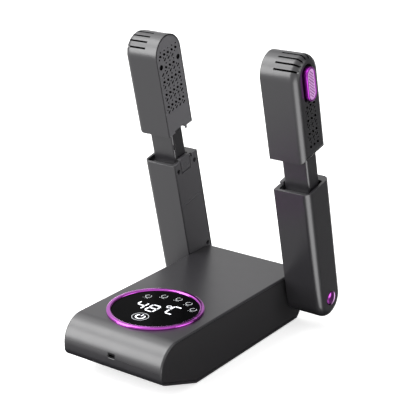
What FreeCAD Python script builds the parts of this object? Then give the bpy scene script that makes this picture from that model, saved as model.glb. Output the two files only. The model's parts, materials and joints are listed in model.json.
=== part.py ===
import FreeCAD, Part
import math
import os

# Boot dryer: a low base with a round display on top and two telescoping arms, one at each side.
# Each arm turns on a pivot at the rear of the base and folds forward beside it. A neck slides out
# of the arm and carries a head that holds a fan, a heater and a lamp behind a grille.
# Millimetres, +Z up, -Y the front (nose), +X the right side. The origin is on the table, under the
# middle of the whole object with its arms raised.

V = FreeCAD.Vector
os.makedirs("parts", exist_ok=True)

# ---------------------------------------------------------------- driving dimensions
# Base
FOOT_HEIGHT = 1.5
BASE_WIDTH = 110.0
BASE_HEIGHT = 52.0
BASE_FRONT = -117.7
BASE_REAR = 107.3
SKIN = 2.2                      # moulded wall of the base
EDGE_ROUND = 1.6                # rounding along the sides of the skin
NOSE_RADIUS = 23.0
CHIN_RADIUS = 8.0
CHIN_LEVEL = 18.4               # height above the bottom at which the chin slope would meet the nose
CHIN_REAR = -66.8               # where the chin slope reaches the flat bottom
REAR_RADIUS = 3.0
HEEL = 5.0                      # chamfer at the rear of the bottom
PANEL_INSET = 0.5               # side panels lie this far inside the edges of the skin
PANEL_GAP = 0.35

# Display
DISPLAY_Y = -54.1
RING_OUTER = 44.6
RING_INNER = 40.0
RING_RISE = 2.4
WINDOW_RISE = 1.0

# Arms
LEAN = 13.4                     # degrees that a raised arm leans forward
FOLD = 90.0 - LEAN              # degrees of travel down to the folded position
PIVOT_Y = 98.4
ARM_INNER = 57.0                # X of the arm's inner face
ARM_OUTER = 94.6
ARM_DEPTH = 19.3                # half of the arm's depth, and the radius of its round ends
ARM_ROUND = 7.0
ARM_WALL = 2.0
COVER = 2.2                     # thickness of the inner covers
COVER_LIP = 1.5                 # wall left round the inner covers
HOUSING_TOP = 124.4             # measured along the arm from the pivot
HEAD_BOTTOM = 156.0
HEAD_TOP = 254.4
TRAVEL = 31.2                   # slide of the head towards the housing

# Neck
NECK_INNER = 62.4
NECK_OUTER = 89.4
NECK_DEPTH = 8.8
NECK_ROUND = 2.2
NECK_WALL = 1.8
SLIDE_GAP = 0.3

# Pivot
SHAFT_RADIUS = 4.0
SHAFT_BORE = 2.6
RUNNING_FIT = 0.05
CAP_RADIUS = 6.9
STOP_RADIUS = 13.0              # stop peg's distance from the pivot
PEG_RADIUS = 1.8
PEG_LEAD = 36.6                 # degrees from the arm's axis to the stop peg, towards the front

BASE_BOTTOM = FOOT_HEIGHT
BASE_TOP = FOOT_HEIGHT + BASE_HEIGHT
PIVOT_Z = BASE_TOP - ARM_DEPTH  # a folded arm is flush with the base's top
HALF = BASE_WIDTH / 2.0
HEAD_CENTRE = HEAD_TOP - ARM_DEPTH
ARM_MIDDLE = (ARM_INNER + ARM_OUTER) / 2.0


# ---------------------------------------------------------------- helpers
def box(x0, x1, y0, y1, z0, z1):
    return Part.makeBox(x1 - x0, y1 - y0, z1 - z0, V(x0, y0, z0))


def rod(radius, start, end):
    way = end.sub(start)
    return Part.makeCylinder(radius, way.Length, start, way)


def rod_x(radius, x0, x1, y, z):
    return rod(radius, V(x0, y, z), V(x1, y, z))


def rod_z(radius, x, y, z0, z1):
    return rod(radius, V(x, y, z0), V(x, y, z1))


def tube_x(outer, inner, x0, x1, y, z):
    return rod_x(outer, x0, x1, y, z).cut(rod_x(inner, x0 - 1, x1 + 1, y, z))


def fuse(shapes):
    return shapes[0].multiFuse(shapes[1:]).removeSplitter()


def cut(shape, tools):
    return shape.cut(Part.makeCompound(tools))


def rounded_box(x0, x1, y0, y1, z0, z1, radius, axis):
    """A box with the four edges along one axis rounded."""
    block = box(x0, x1, y0, y1, z0, z1)
    edges = []
    for edge in block.Edges:
        way = edge.Vertexes[0].Point.sub(edge.Vertexes[1].Point)
        if abs((way.x, way.y, way.z)[axis]) > 1e-6:
            edges.append(edge)
    return block.makeFillet(radius, edges)


def export(name, shape):
    solids = shape.Solids
    result = solids[0] if len(solids) == 1 else Part.makeCompound(solids)
    if not result.isValid():
        print("INVALID", name)
    result.exportStep("parts/" + name + ".step")
    print(name, len(solids), round(result.Volume / 1000.0, 2), "cm3")


# ---------------------------------------------------------------- base: outline seen from the side
def tangent_arc(before, corner, after, radius):
    """Ends of the round that eases a corner, and the middle of its arc."""
    back = before.sub(corner).normalize()
    ahead = after.sub(corner).normalize()
    half_angle = back.getAngle(ahead) / 2.0
    reach = radius / math.tan(half_angle)
    bisector = back.add(ahead).normalize()
    middle = corner.add(bisector.multiply(radius / math.sin(half_angle) - radius))
    return corner.add(back.multiply(reach)), middle, corner.add(ahead.multiply(reach))


def base_outline(inset, x):
    """The base's outline, drawn inside its outer surface by inset, as a wire at X = x."""
    top = BASE_TOP - inset
    bottom = BASE_BOTTOM + inset
    front = BASE_FRONT + inset
    rear = BASE_REAR - inset
    slope = math.atan2(CHIN_LEVEL, CHIN_REAR - BASE_FRONT)
    chin_z = BASE_BOTTOM + CHIN_LEVEL + inset * (1.0 / math.cos(slope) - math.tan(slope))
    chin_y = CHIN_REAR + inset * math.tan(slope / 2.0)
    heel = HEEL - inset * (2.0 - math.sqrt(2.0))
    corners = [
        (V(x, rear, top), max(REAR_RADIUS - inset, 0.6)),
        (V(x, front, top), NOSE_RADIUS - inset),
        (V(x, front, chin_z), CHIN_RADIUS - inset),
        (V(x, chin_y, bottom), 0.0),
        (V(x, rear - heel, bottom), 0.0),
        (V(x, rear, bottom + heel), 0.0),
    ]
    edges = []
    last = None
    first = None
    count = len(corners)
    for i in range(count):
        corner, radius = corners[i]
        if radius > 0.0:
            start, middle, end = tangent_arc(corners[i - 1][0], corner, corners[(i + 1) % count][0], radius)
        else:
            start, middle, end = corner, None, corner
        if last is not None:
            edges.append(Part.LineSegment(last, start).toShape())
        else:
            first = start
        if middle is not None:
            edges.append(Part.Arc(start, middle, end).toShape())
        last = end
    edges.append(Part.LineSegment(last, first).toShape())
    return Part.Wire(edges)


def base_prism(inset, x0, x1):
    return Part.Face(base_outline(inset, x0)).extrude(V(x1 - x0, 0, 0))


def slope_end():
    """Where the round under the nose meets the sloping chin. Everything below it is the bottom cover."""
    above = V(0, BASE_FRONT, BASE_TOP)
    corner = V(0, BASE_FRONT, BASE_BOTTOM + CHIN_LEVEL)
    return tangent_arc(above, corner, V(0, CHIN_REAR, BASE_BOTTOM), CHIN_RADIUS)[2]


# ---------------------------------------------------------------- base: casing
COVER_TOP = BASE_BOTTOM + SKIN
PANEL_INNER = HALF - PANEL_INSET - SKIN
BOSS_RADIUS = 3.6
COVER_SCREW_RADIUS = 1.5
COVER_HEAD_RADIUS = 2.8
SMALL_SCREW_RADIUS = 1.0
COVER_SCREWS = [(x, y) for y in (-58.0, 8.0, 84.0) for x in (-43.5, 43.5)]
FEET = [(x, y) for y in (-45.0, 96.0) for x in (-41.0, 41.0)]
FOOT_RADIUS = 5.0

DISPLAY_HOLE = 35.5
DISPLAY_SEAT = 1.1              # depth of the seat that the window lies in
DISPLAY_BOARD_TOP = BASE_TOP - 9.0
DISPLAY_BOARD_RADIUS = 39.6
DISPLAY_SCREWS = [(37.0 * math.cos(math.radians(a)), DISPLAY_Y + 37.0 * math.sin(math.radians(a)))
                  for a in (45.0, 135.0, 225.0, 315.0)]
DISPLAY_BOSS = 2.4

POST_HEIGHT = 6.0
BOARD = 1.6
CONTROL_SCREWS = [(x, y) for y in (22.0, 70.0) for x in (-31.0, 31.0)]

INLET_Z = 32.6
INLET_WIDTH = 6.0
INLET_OPENING = 2.5
INLET_WALL = 0.8

BUSH_RADIUS = 6.2
BRACKET = 3.0
BRACKET_FOOT_Y = (62.0, 72.0)
FOOT_SCREW_X = 40.0


def rods_z(radius, places, z0, z1):
    return [rod_z(radius, x, y, z0, z1) for x, y in places]


def mirrored(shape, side):
    return shape if side > 0 else shape.mirror(V(0, 0, 0), V(1, 0, 0))


def inlet_box(margin, y0, y1):
    return rounded_box(-INLET_WIDTH / 2 - margin, INLET_WIDTH / 2 + margin, y0, y1,
                       INLET_Z - INLET_OPENING / 2 - margin, INLET_Z + INLET_OPENING / 2 + margin,
                       0.6 + margin / 2, 1)


def base_top_shell():
    """One moulded channel: top, nose and rear wall, open at the sides and below."""
    outer = base_prism(0.0, -HALF, HALF)
    rounds = []
    for edge in outer.Edges:
        points = [v.Point for v in edge.Vertexes]
        along_outline = max(p.x for p in points) - min(p.x for p in points) < 1e-6
        if along_outline and min(p.z for p in points) > BASE_BOTTOM + 1.0:
            rounds.append(edge)
    outer = outer.makeFillet(EDGE_ROUND, rounds)
    shell = outer.cut(base_prism(SKIN, -HALF - 1, HALF + 1))
    chin = slope_end()
    below = [box(-HALF - 1, HALF + 1, chin.y, BASE_REAR + 1, 0, chin.z),
             box(-HALF - 1, HALF + 1, BASE_FRONT - 1, chin.y + 0.01, 0, chin.z - 2.0)]
    shell = cut(shell, below)
    # Ledges that the side panels rest against, clear of the pivots.
    added = []
    for side in (-1, 1):
        edge = side * (PANEL_INNER - 0.1)
        ledge = base_prism(SKIN - 0.2, min(edge, edge - side * 1.6), max(edge, edge - side * 1.6))
        ledge = ledge.cut(base_prism(SKIN + 2.0, -HALF, HALF))
        added.append(ledge.common(box(-HALF, HALF, chin.y + 2, 74.0, chin.z + 6.0, BASE_TOP - 0.5)))
    added += rods_z(BOSS_RADIUS, COVER_SCREWS, COVER_TOP + 0.6, BASE_TOP - 1.0)
    added += rods_z(DISPLAY_BOSS, DISPLAY_SCREWS, DISPLAY_BOARD_TOP, BASE_TOP - DISPLAY_SEAT - 0.5)
    shell = fuse([shell] + added)
    tools = [rod_z(RING_INNER + 1.4, 0, DISPLAY_Y, BASE_TOP - DISPLAY_SEAT, BASE_TOP + 1),
             rod_z(DISPLAY_HOLE, 0, DISPLAY_Y, BASE_TOP - SKIN - 1, BASE_TOP + 1),
             inlet_box(INLET_WALL + 0.1, BASE_FRONT - 1, BASE_FRONT + SKIN + 2)]
    tools += rods_z(COVER_SCREW_RADIUS, COVER_SCREWS, COVER_TOP, COVER_TOP + 14.0)
    tools += rods_z(SMALL_SCREW_RADIUS, DISPLAY_SCREWS, DISPLAY_BOARD_TOP - 1, DISPLAY_BOARD_TOP + 5.0)
    return cut(shell, tools)


def base_bottom_cover():
    """The bent tray that closes the chin, the bottom and the heel."""
    chin = slope_end()
    tray = base_prism(0.0, -HALF + 0.2, HALF - 0.2).cut(base_prism(SKIN, -HALF, HALF))
    tray = tray.common(box(-HALF, HALF, chin.y + 0.2, BASE_REAR + 1, 0, chin.z - 0.15))
    pads = rods_z(BOSS_RADIUS, COVER_SCREWS, BASE_BOTTOM + 0.5, COVER_TOP + 0.6)
    posts = rods_z(3.0, CONTROL_SCREWS, COVER_TOP - 0.5, COVER_TOP + POST_HEIGHT)
    tray = fuse([tray] + pads + posts)
    tools = rods_z(COVER_SCREW_RADIUS + 0.1, COVER_SCREWS, 0, COVER_TOP + 2)
    tools += rods_z(COVER_HEAD_RADIUS + 0.2, COVER_SCREWS, 0, BASE_BOTTOM + 1.4)
    tools += rods_z(SMALL_SCREW_RADIUS, CONTROL_SCREWS, COVER_TOP + 0.5, COVER_TOP + 7)
    foot_screws = [(x, y) for x in (-FOOT_SCREW_X, FOOT_SCREW_X) for y in BRACKET_FOOT_Y]
    tools += rods_z(1.25, foot_screws, BASE_BOTTOM + 0.5, COVER_TOP + 1)
    for i in range(9):
        y = 26.0 + 5.0 * i
        tools.append(rounded_box(-20.0, 20.0, y - 1.0, y + 1.0, 0, COVER_TOP + 1, 0.9, 2))
    return cut(tray, tools)


def from_pivot(radius, degrees):
    """A point beside the pivot, its angle measured from +Z towards the front."""
    angle = math.radians(degrees)
    return PIVOT_Y - radius * math.sin(angle), PIVOT_Z + radius * math.cos(angle)


def stop_slot(x0, x1, half_width):
    """The curved slot that the arm's stop peg travels in."""
    start, end = LEAN + PEG_LEAD, LEAN + PEG_LEAD + FOLD
    ring = tube_x(STOP_RADIUS + half_width, STOP_RADIUS - half_width, x0, x1, PIVOT_Y, PIVOT_Z)
    corners = [V(x0, PIVOT_Y, PIVOT_Z)]
    steps = 4
    for i in range(steps + 1):
        y, z = from_pivot(3.0 * STOP_RADIUS, start + (end - start) * i / steps)
        corners.append(V(x0, y, z))
    sector = Part.Face(Part.makePolygon(corners + corners[:1])).extrude(V(x1 - x0, 0, 0))
    ends = [rod_x(half_width, x0, x1, *from_pivot(STOP_RADIUS, degrees)) for degrees in (start, end)]
    return fuse([ring.common(sector)] + ends)


def base_side_panel(side):
    """The flat panel that closes one side, with a hole for the pivot and a slot for the stop peg."""
    x0, x1 = PANEL_INNER, HALF - PANEL_INSET
    panel = base_prism(SKIN + PANEL_GAP, x0, x1)
    tools = [rod_x(SHAFT_RADIUS + 1.0, x0 - 1, x1 + 1, PIVOT_Y, PIVOT_Z),
             stop_slot(x0 - 1, x1 + 1, PEG_RADIUS + 0.4)]
    return mirrored(cut(panel, tools), side)


def pivot_bracket(side):
    """Steel angle behind the side panel. Its bush carries the arm's shaft, its foot is screwed down."""
    x1 = PANEL_INNER
    x0 = x1 - BRACKET
    front = BRACKET_FOOT_Y[0] - 5.0
    plate = box(x0, x1, front, PIVOT_Y, COVER_TOP, PIVOT_Z + 10.0)
    end = rod_x(BUSH_RADIUS, x0 - 2.0, x1, PIVOT_Y, PIVOT_Z)
    foot = box(FOOT_SCREW_X - 5.0, x1, front, BRACKET_FOOT_Y[1] + 5.0, COVER_TOP, COVER_TOP + BRACKET)
    body = fuse([plate, end, foot])
    tools = [rod_x(SHAFT_RADIUS + RUNNING_FIT, x0 - 4, x1 + 1, PIVOT_Y, PIVOT_Z),
             stop_slot(x0 - 1, x1 + 1, PEG_RADIUS + 0.5)]
    tools += [rod_z(1.5, FOOT_SCREW_X, y, COVER_TOP - 1, COVER_TOP + BRACKET + 1) for y in BRACKET_FOOT_Y]
    return mirrored(cut(body, tools), side)


def pan_screw(place, way, head_radius, head_height, shank_radius, length):
    """A pan-head screw whose head bears at place and whose shank runs along way."""
    way = V(*way).normalize()
    head = rod(head_radius, place.sub(V(way).multiply(head_height)), place)
    rim = [e for e in head.Edges if e.Closed and e.CenterOfMass.sub(place).Length > head_height * 0.9]
    head = head.makeFillet(head_height * 0.35, rim)
    shank = rod(shank_radius, place.sub(V(way).multiply(0.2)), place.add(V(way).multiply(length)))
    return fuse([head, shank])


def base_cover_screws():
    up = (0, 0, 1)
    return Part.makeCompound([pan_screw(V(x, y, BASE_BOTTOM + 1.4), up, COVER_HEAD_RADIUS, 1.3,
                                        COVER_SCREW_RADIUS, 13.0) for x, y in COVER_SCREWS])


def bracket_screws():
    down = (0, 0, -1)
    top = COVER_TOP + BRACKET
    return Part.makeCompound([pan_screw(V(side * FOOT_SCREW_X, y, top), down, 2.6, 1.8, 1.25, BRACKET + 1.5)
                              for side in (-1, 1) for y in BRACKET_FOOT_Y])


def rubber_feet():
    feet = []
    for x, y in FEET:
        foot = rod_z(FOOT_RADIUS, x, y, 0, BASE_BOTTOM)
        rim = [e for e in foot.Edges if e.Closed and e.CenterOfMass.z < 0.1]
        feet.append(foot.makeFillet(0.5, rim))
    return Part.makeCompound(feet)


# ---------------------------------------------------------------- base: display and electronics
def display_bezel():
    """The raised metallic ring, with a skirt that locates the window."""
    ring = rod_z(RING_OUTER, 0, DISPLAY_Y, BASE_TOP, BASE_TOP + RING_RISE)
    ring = ring.cut(rod_z(RING_INNER, 0, DISPLAY_Y, BASE_TOP - 1, BASE_TOP + 4))
    upper = [e for e in ring.Edges if e.Closed and e.CenterOfMass.z > BASE_TOP + 1.0]
    ring = ring.makeFillet(1.5, upper)
    skirt = rod_z(RING_INNER + 1.3, 0, DISPLAY_Y, BASE_TOP - DISPLAY_SEAT, BASE_TOP + 0.2)
    skirt = skirt.cut(rod_z(RING_INNER, 0, DISPLAY_Y, BASE_TOP - 2, BASE_TOP + 4))
    return fuse([ring, skirt])


def display_window():
    return rod_z(RING_INNER - 0.1, 0, DISPLAY_Y, BASE_TOP - DISPLAY_SEAT, BASE_TOP + WINDOW_RISE)


def display_board():
    board = rod_z(DISPLAY_BOARD_RADIUS, 0, DISPLAY_Y, DISPLAY_BOARD_TOP - BOARD, DISPLAY_BOARD_TOP)
    return cut(board, rods_z(1.2, DISPLAY_SCREWS, DISPLAY_BOARD_TOP - 3, DISPLAY_BOARD_TOP + 1))


def digit_module():
    """The light box behind the temperature digits."""
    top = BASE_TOP - DISPLAY_SEAT - 0.1
    return rounded_box(-23.0, 21.0, DISPLAY_Y - 12.0, DISPLAY_Y + 16.0, DISPLAY_BOARD_TOP, top, 1.0, 2)


ICON_RADIUS = 30.6
ICON_ANGLES = [140.0, 113.0, 84.5, 57.5, 34.0]
POWER_PLACE = (-1.4, -20.6)


def icon_lights():
    """Small light boxes behind the programme icons and the power key."""
    top = BASE_TOP - DISPLAY_SEAT - 0.1
    lights = []
    for degrees in ICON_ANGLES:
        angle = math.radians(degrees)
        x = (ICON_RADIUS - 0.2) * math.cos(angle)
        y = DISPLAY_Y + (ICON_RADIUS - 0.2) * math.sin(angle)
        lights.append(rod_z(3.2, x, y, DISPLAY_BOARD_TOP, top))
    lights.append(rod_z(7.0, POWER_PLACE[0], DISPLAY_Y + POWER_PLACE[1], DISPLAY_BOARD_TOP, top))
    return Part.makeCompound(lights)


BOARD_BOTTOM = COVER_TOP + POST_HEIGHT
BOARD_TOP = BOARD_BOTTOM + BOARD


def board_screws():
    """Screws of the display board, driven up, and of the control board, driven down."""
    screws = [pan_screw(V(x, y, DISPLAY_BOARD_TOP - BOARD), (0, 0, 1), 2.2, 1.4, SMALL_SCREW_RADIUS, 6.0)
              for x, y in DISPLAY_SCREWS]
    screws += [pan_screw(V(x, y, BOARD_TOP), (0, 0, -1), 2.2, 1.4, SMALL_SCREW_RADIUS, 6.5)
               for x, y in CONTROL_SCREWS]
    return Part.makeCompound(screws)


def control_board():
    board = rounded_box(-35.0, 35.0, 17.0, 75.0, BOARD_BOTTOM, BOARD_TOP, 2.0, 2)
    return cut(board, rods_z(1.2, CONTROL_SCREWS, BOARD_BOTTOM - 1, BOARD_TOP + 1))


def control_components():
    """What stands on the control board: relays, capacitors, coil, controller, heat sink, connectors."""
    z = BOARD_TOP
    parts = [rounded_box(x, x + 15.0, 55.0, 65.0, z, z + 14.0, 0.8, 2) for x in (-26.0, -8.0)]
    parts += [rod_z(4.0, x, 28.0, z, z + 13.0) for x in (-22.0, -12.0)]
    coil = rod_z(8.0, 8.0, 32.0, z, z + 7.0).cut(rod_z(3.4, 8.0, 32.0, z - 1, z + 8))
    parts.append(coil)
    parts.append(box(-6.0, 4.0, 43.0, 53.0, z, z + 1.6))
    sink = [box(14.0, 28.0, 44.0, 62.0, z, z + 2.0)]
    sink += [box(14.0 + 2.6 * i, 15.0 + 2.6 * i, 44.0, 62.0, z + 1.5, z + 14.0) for i in range(6)]
    parts.append(fuse(sink))
    parts += [box(x - 4.0, x + 4.0, 67.5, 73.5, z, z + 8.0) for x in (-14.0, 0.0, 14.0)]
    parts.append(box(18.0, 27.0, 18.5, 25.0, z, z + 8.0))
    return Part.makeCompound(parts)


INLET_BACK = BASE_FRONT + 15.0


def power_inlet():
    """A small rectangular low-voltage inlet with a tongue, pushed into the nose from behind."""
    body = inlet_box(INLET_WALL, BASE_FRONT + 0.4, INLET_BACK)
    flange = inlet_box(INLET_WALL + 1.2, BASE_FRONT + SKIN + 0.8, BASE_FRONT + SKIN + 2.4)
    body = fuse([body, flange]).cut(inlet_box(0.0, BASE_FRONT - 1, BASE_FRONT + 11.0))
    tongue = box(-2.0, 2.0, BASE_FRONT + 3.0, BASE_FRONT + 12.0, INLET_Z - 0.35, INLET_Z + 0.35)
    pins = [box(x - 0.3, x + 0.3, INLET_BACK - 0.5, INLET_BACK + 3.0, INLET_Z - 0.2, INLET_Z + 0.2)
            for x in (-1.8, -0.6, 0.6, 1.8)]
    return fuse([body, tongue] + pins)


# ---------------------------------------------------------------- arms
# Arm pieces are drawn for the right arm, upright, with the pivot at the origin: X as in the whole
# object, Y the arm's depth and Z the height along the arm. raise_arm puts them in place.
PIVOT_POINT = V(0, PIVOT_Y, PIVOT_Z)
ARM_HOUSING = "housing"
ARM_HEAD = "head"
COVER_INNER = ARM_INNER
COVER_OUTER = ARM_INNER + COVER
HOUSING_SCREWS = [(a, h) for h in (18.0, 115.4) for a in (-13.2, 13.2)]
HEAD_SCREWS = [(a, 227.0) for a in (-13.3, 13.3)] + [(a, 166.0) for a in (-13.3, 13.3)]
CUP_DEPTH = 3.0                 # depth that the cover screws are sunk
CUP_RADIUS = 2.5
ARM_BOSS = 2.4
ARM_SCREW = 1.1
HOLLOW_OUTER = ARM_OUTER - ARM_WALL
INNER_ROUND = ARM_ROUND - ARM_WALL
BOSS_END = HOLLOW_OUTER + 0.15     # screw bosses end inside the rounded outer wall
OPENING = (61.2, 92.0, -16.8, 10.6)      # the neck's opening in the housing's top: X then depth
TAB_DEPTH = (-8.0, 6.0)
TAB_SLITS = (1.2, 0.8)
TAB_RISE = 2.2
TAB_FOOT = 112.0
PRONG_DEPTH = (8.4, 10.2)
CATCH_TRAVEL = 1.2


def raise_arm(shape, side):
    shape = mirrored(shape, side)
    shape = shape.copy()
    shape.rotate(V(0, 0, 0), V(1, 0, 0), LEAN)
    shape.translate(PIVOT_POINT)
    return shape


def arm_prism(kind, x0, x1, inset, flat):
    """A straight block with one round end: the housing's below, the head's above. flat is its cut end."""
    radius = ARM_DEPTH - inset
    centre, way = (0.0, -1.0) if kind == ARM_HOUSING else (HEAD_CENTRE, 1.0)
    a = V(x0, -radius, flat)
    b = V(x0, -radius, centre)
    c = V(x0, radius, centre)
    d = V(x0, radius, flat)
    edges = [Part.LineSegment(a, b).toShape(), Part.Arc(b, V(x0, 0, centre + way * radius), c).toShape(),
             Part.LineSegment(c, d).toShape(), Part.LineSegment(d, a).toShape()]
    return Part.Face(Part.Wire(edges)).extrude(V(x1 - x0, 0, 0))


def rounded_arm_prism(kind, x0, x1, inset, flat, radius):
    """The same, with its outer rim rounded. The housing's rim stays sharp at its cut end."""
    block = arm_prism(kind, x0, x1, inset, flat)
    rim = []
    for edge in block.Edges:
        points = [v.Point for v in edge.Vertexes]
        on_outer = all(abs(p.x - x1) < 1e-6 for p in points)
        at_cut = all(abs(p.z - flat) < 1e-6 for p in points)
        if on_outer and not (at_cut and kind == ARM_HOUSING):
            rim.append(edge)
    return block.makeFillet(radius, rim)


def neck_box(grow, h0, h1, radius):
    return rounded_box(NECK_INNER - grow, NECK_OUTER + grow, -NECK_DEPTH - grow, NECK_DEPTH + grow,
                       h0, h1, radius, 2)


def housing_shell(side):
    """Front, outer side, rear and top of the lower arm in one moulding, open on the inner side."""
    shell = rounded_arm_prism(ARM_HOUSING, ARM_INNER, ARM_OUTER, 0.0, HOUSING_TOP, ARM_ROUND)
    hollow = rounded_arm_prism(ARM_HOUSING, ARM_INNER - 1, HOLLOW_OUTER, ARM_WALL,
                               HOUSING_TOP - ARM_WALL, INNER_ROUND)
    seat = arm_prism(ARM_HOUSING, ARM_INNER - 1, COVER_OUTER, COVER_LIP, HOUSING_TOP + 1)
    shell = shell.cut(hollow).cut(seat)
    bosses = [rod_x(ARM_BOSS, ARM_INNER + CUP_DEPTH + 1.0, BOSS_END, a, h)
              for a, h in HOUSING_SCREWS]
    bosses.append(rod_x(8.0, COVER_OUTER, HOLLOW_OUTER + 0.5, 0, 0))
    shell = fuse([shell] + bosses)
    x0, x1, a0, a1 = OPENING
    tools = [rounded_box(x0, x1, a0, a1, HOUSING_TOP - 4, HOUSING_TOP + 1, 2.4, 2)]
    tools.append(box(ARM_INNER - 1, x0 + 2.6, TAB_DEPTH[0] - TAB_SLITS[0], TAB_DEPTH[1] + TAB_SLITS[1],
                     HOUSING_TOP - 4, HOUSING_TOP + 1))
    tools += [rod_x(ARM_SCREW, ARM_INNER, ARM_INNER + 16.0, a, h) for a, h in HOUSING_SCREWS]
    tools.append(rod_x(SHAFT_RADIUS, ARM_INNER - 1, ARM_OUTER + 1, 0, 0))
    tools.append(rod_x(CAP_RADIUS + 0.1, ARM_OUTER - 4.6, ARM_OUTER + 1, 0, 0))
    return raise_arm(cut(shell, tools), side)


def cup_tools(places):
    tools = [rod_x(CUP_RADIUS, ARM_INNER - 1, ARM_INNER + CUP_DEPTH, a, h) for a, h in places]
    return tools + [rod_x(ARM_SCREW + 0.3, ARM_INNER, ARM_INNER + CUP_DEPTH + 2, a, h) for a, h in places]


def cups(places):
    return [rod_x(CUP_RADIUS + 1.0, ARM_INNER + 1, ARM_INNER + CUP_DEPTH + 1.0, a, h) for a, h in places]


def housing_cover(side):
    """The flat inner cover, with sunk screws, two fine grooves, the catch's notch and the stop peg."""
    plate = arm_prism(ARM_HOUSING, COVER_INNER, COVER_OUTER, COVER_LIP + 0.15, HOUSING_TOP)
    lead = math.radians(PEG_LEAD)
    peg = rod_x(PEG_RADIUS, PANEL_INNER + 0.4, COVER_INNER + 1.0,
                -STOP_RADIUS * math.sin(lead), STOP_RADIUS * math.cos(lead))
    plate = fuse([plate, peg] + cups(HOUSING_SCREWS))
    tools = cup_tools(HOUSING_SCREWS)
    tools.append(rod_x(SHAFT_RADIUS, COVER_INNER - 1, COVER_OUTER + 1, 0, 0))
    tools.append(box(COVER_INNER - 1, COVER_OUTER + 1, TAB_DEPTH[0] - TAB_SLITS[0],
                     TAB_DEPTH[1] + TAB_SLITS[1], TAB_FOOT - 0.8, HOUSING_TOP + 1))
    tools.append(box(COVER_INNER - 1, COVER_OUTER + 1, PRONG_DEPTH[0] - 0.3, PRONG_DEPTH[1] + 0.3,
                     HOUSING_TOP - 3.4, HOUSING_TOP + 1))
    for h in (76.5, 79.5):
        tools.append(box(COVER_INNER - 1, COVER_INNER + 0.35, -ARM_DEPTH, ARM_DEPTH, h - 0.2, h + 0.2))
    return raise_arm(cut(plate, tools), side)


def cover_screws(places, side):
    bear = ARM_INNER + CUP_DEPTH
    screws = [pan_screw(V(bear, a, h), (1, 0, 0), CUP_RADIUS - 0.3, 1.5, ARM_SCREW, 11.0) for a, h in places]
    return raise_arm(Part.makeCompound(screws), side)


SHAFT_END = PANEL_INNER - BRACKET - 2.0 - 3.2
NUT_RADIUS = 6.3


def pivot_shaft(side):
    """The hollow shaft that the arm turns on. The leads pass through it."""
    shaft = rod_x(SHAFT_RADIUS, SHAFT_END, ARM_OUTER - 3.4, 0, 0)
    head = rod_x(CAP_RADIUS - 0.6, ARM_OUTER - 4.6, ARM_OUTER - 3.0, 0, 0)
    shaft = fuse([shaft, head]).cut(rod_x(SHAFT_BORE, SHAFT_END - 1, ARM_OUTER - 6.0, 0, 0))
    port = box(70.0, 80.0, -1.6, 1.6, 0, SHAFT_RADIUS + 1)
    return raise_arm(shaft.cut(port), side)


def shaft_nut(side):
    nut = rod_x(NUT_RADIUS, SHAFT_END + 0.3, SHAFT_END + 2.9, 0, 0)
    flats = [box(SHAFT_END, SHAFT_END + 4, s * 5.6 - (2 if s < 0 else 0), s * 5.6 + (2 if s > 0 else 0),
                 -7, 7) for s in (-1, 1)]
    nut = cut(nut, flats + [rod_x(SHAFT_RADIUS, SHAFT_END - 1, SHAFT_END + 4, 0, 0)])
    return raise_arm(nut, side)


def friction_washer(side):
    washer = tube_x(6.4, SHAFT_RADIUS, HALF - PANEL_INSET + 0.3, COVER_INNER, 0, 0)
    return raise_arm(washer, side)


def pivot_cap(side):
    """The domed metallic cap over the shaft's end."""
    plug = rod_x(CAP_RADIUS, ARM_OUTER - 3.0, ARM_OUTER + 0.6, 0, 0)
    sphere_radius = 16.0
    rise = 2.2
    ball = Part.makeSphere(sphere_radius, V(ARM_OUTER + rise - sphere_radius, 0, 0))
    dome = ball.common(rod_x(CAP_RADIUS, ARM_OUTER + 0.5, ARM_OUTER + 4, 0, 0))
    return raise_arm(fuse([plug, dome]), side)


GUIDE_TOP = HOUSING_TOP - 4.2
LIP_TOP = 98.0


def neck_guide(side):
    """The collar inside the housing's top that the neck slides through."""
    plate = box(COVER_OUTER + 0.1, HOLLOW_OUTER, -ARM_DEPTH + ARM_WALL, ARM_DEPTH - ARM_WALL,
                GUIDE_TOP - 2.0, GUIDE_TOP)
    rim = [e for e in plate.Edges if abs(e.Vertexes[0].Z - e.Vertexes[-1].Z) > 1.0
           and e.Vertexes[0].X > ARM_MIDDLE]
    plate = plate.makeFillet(INNER_ROUND, rim)
    sleeve = neck_box(SLIDE_GAP + 1.5, LIP_TOP + 0.4, GUIDE_TOP - 1, 2.0)
    guide = fuse([plate, sleeve])
    tools = [neck_box(SLIDE_GAP, LIP_TOP - 1, GUIDE_TOP + 1, NECK_ROUND)]
    tools += [rod_x(ARM_BOSS + 1.3, ARM_INNER, ARM_OUTER, a, h) for a, h in HOUSING_SCREWS]
    tools.append(box(ARM_INNER, NECK_INNER + 1.0, TAB_DEPTH[0] - 3.2, TAB_DEPTH[1] + 3.2,
                     LIP_TOP - 1, GUIDE_TOP + 1))
    return raise_arm(cut(guide, tools), side)


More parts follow.
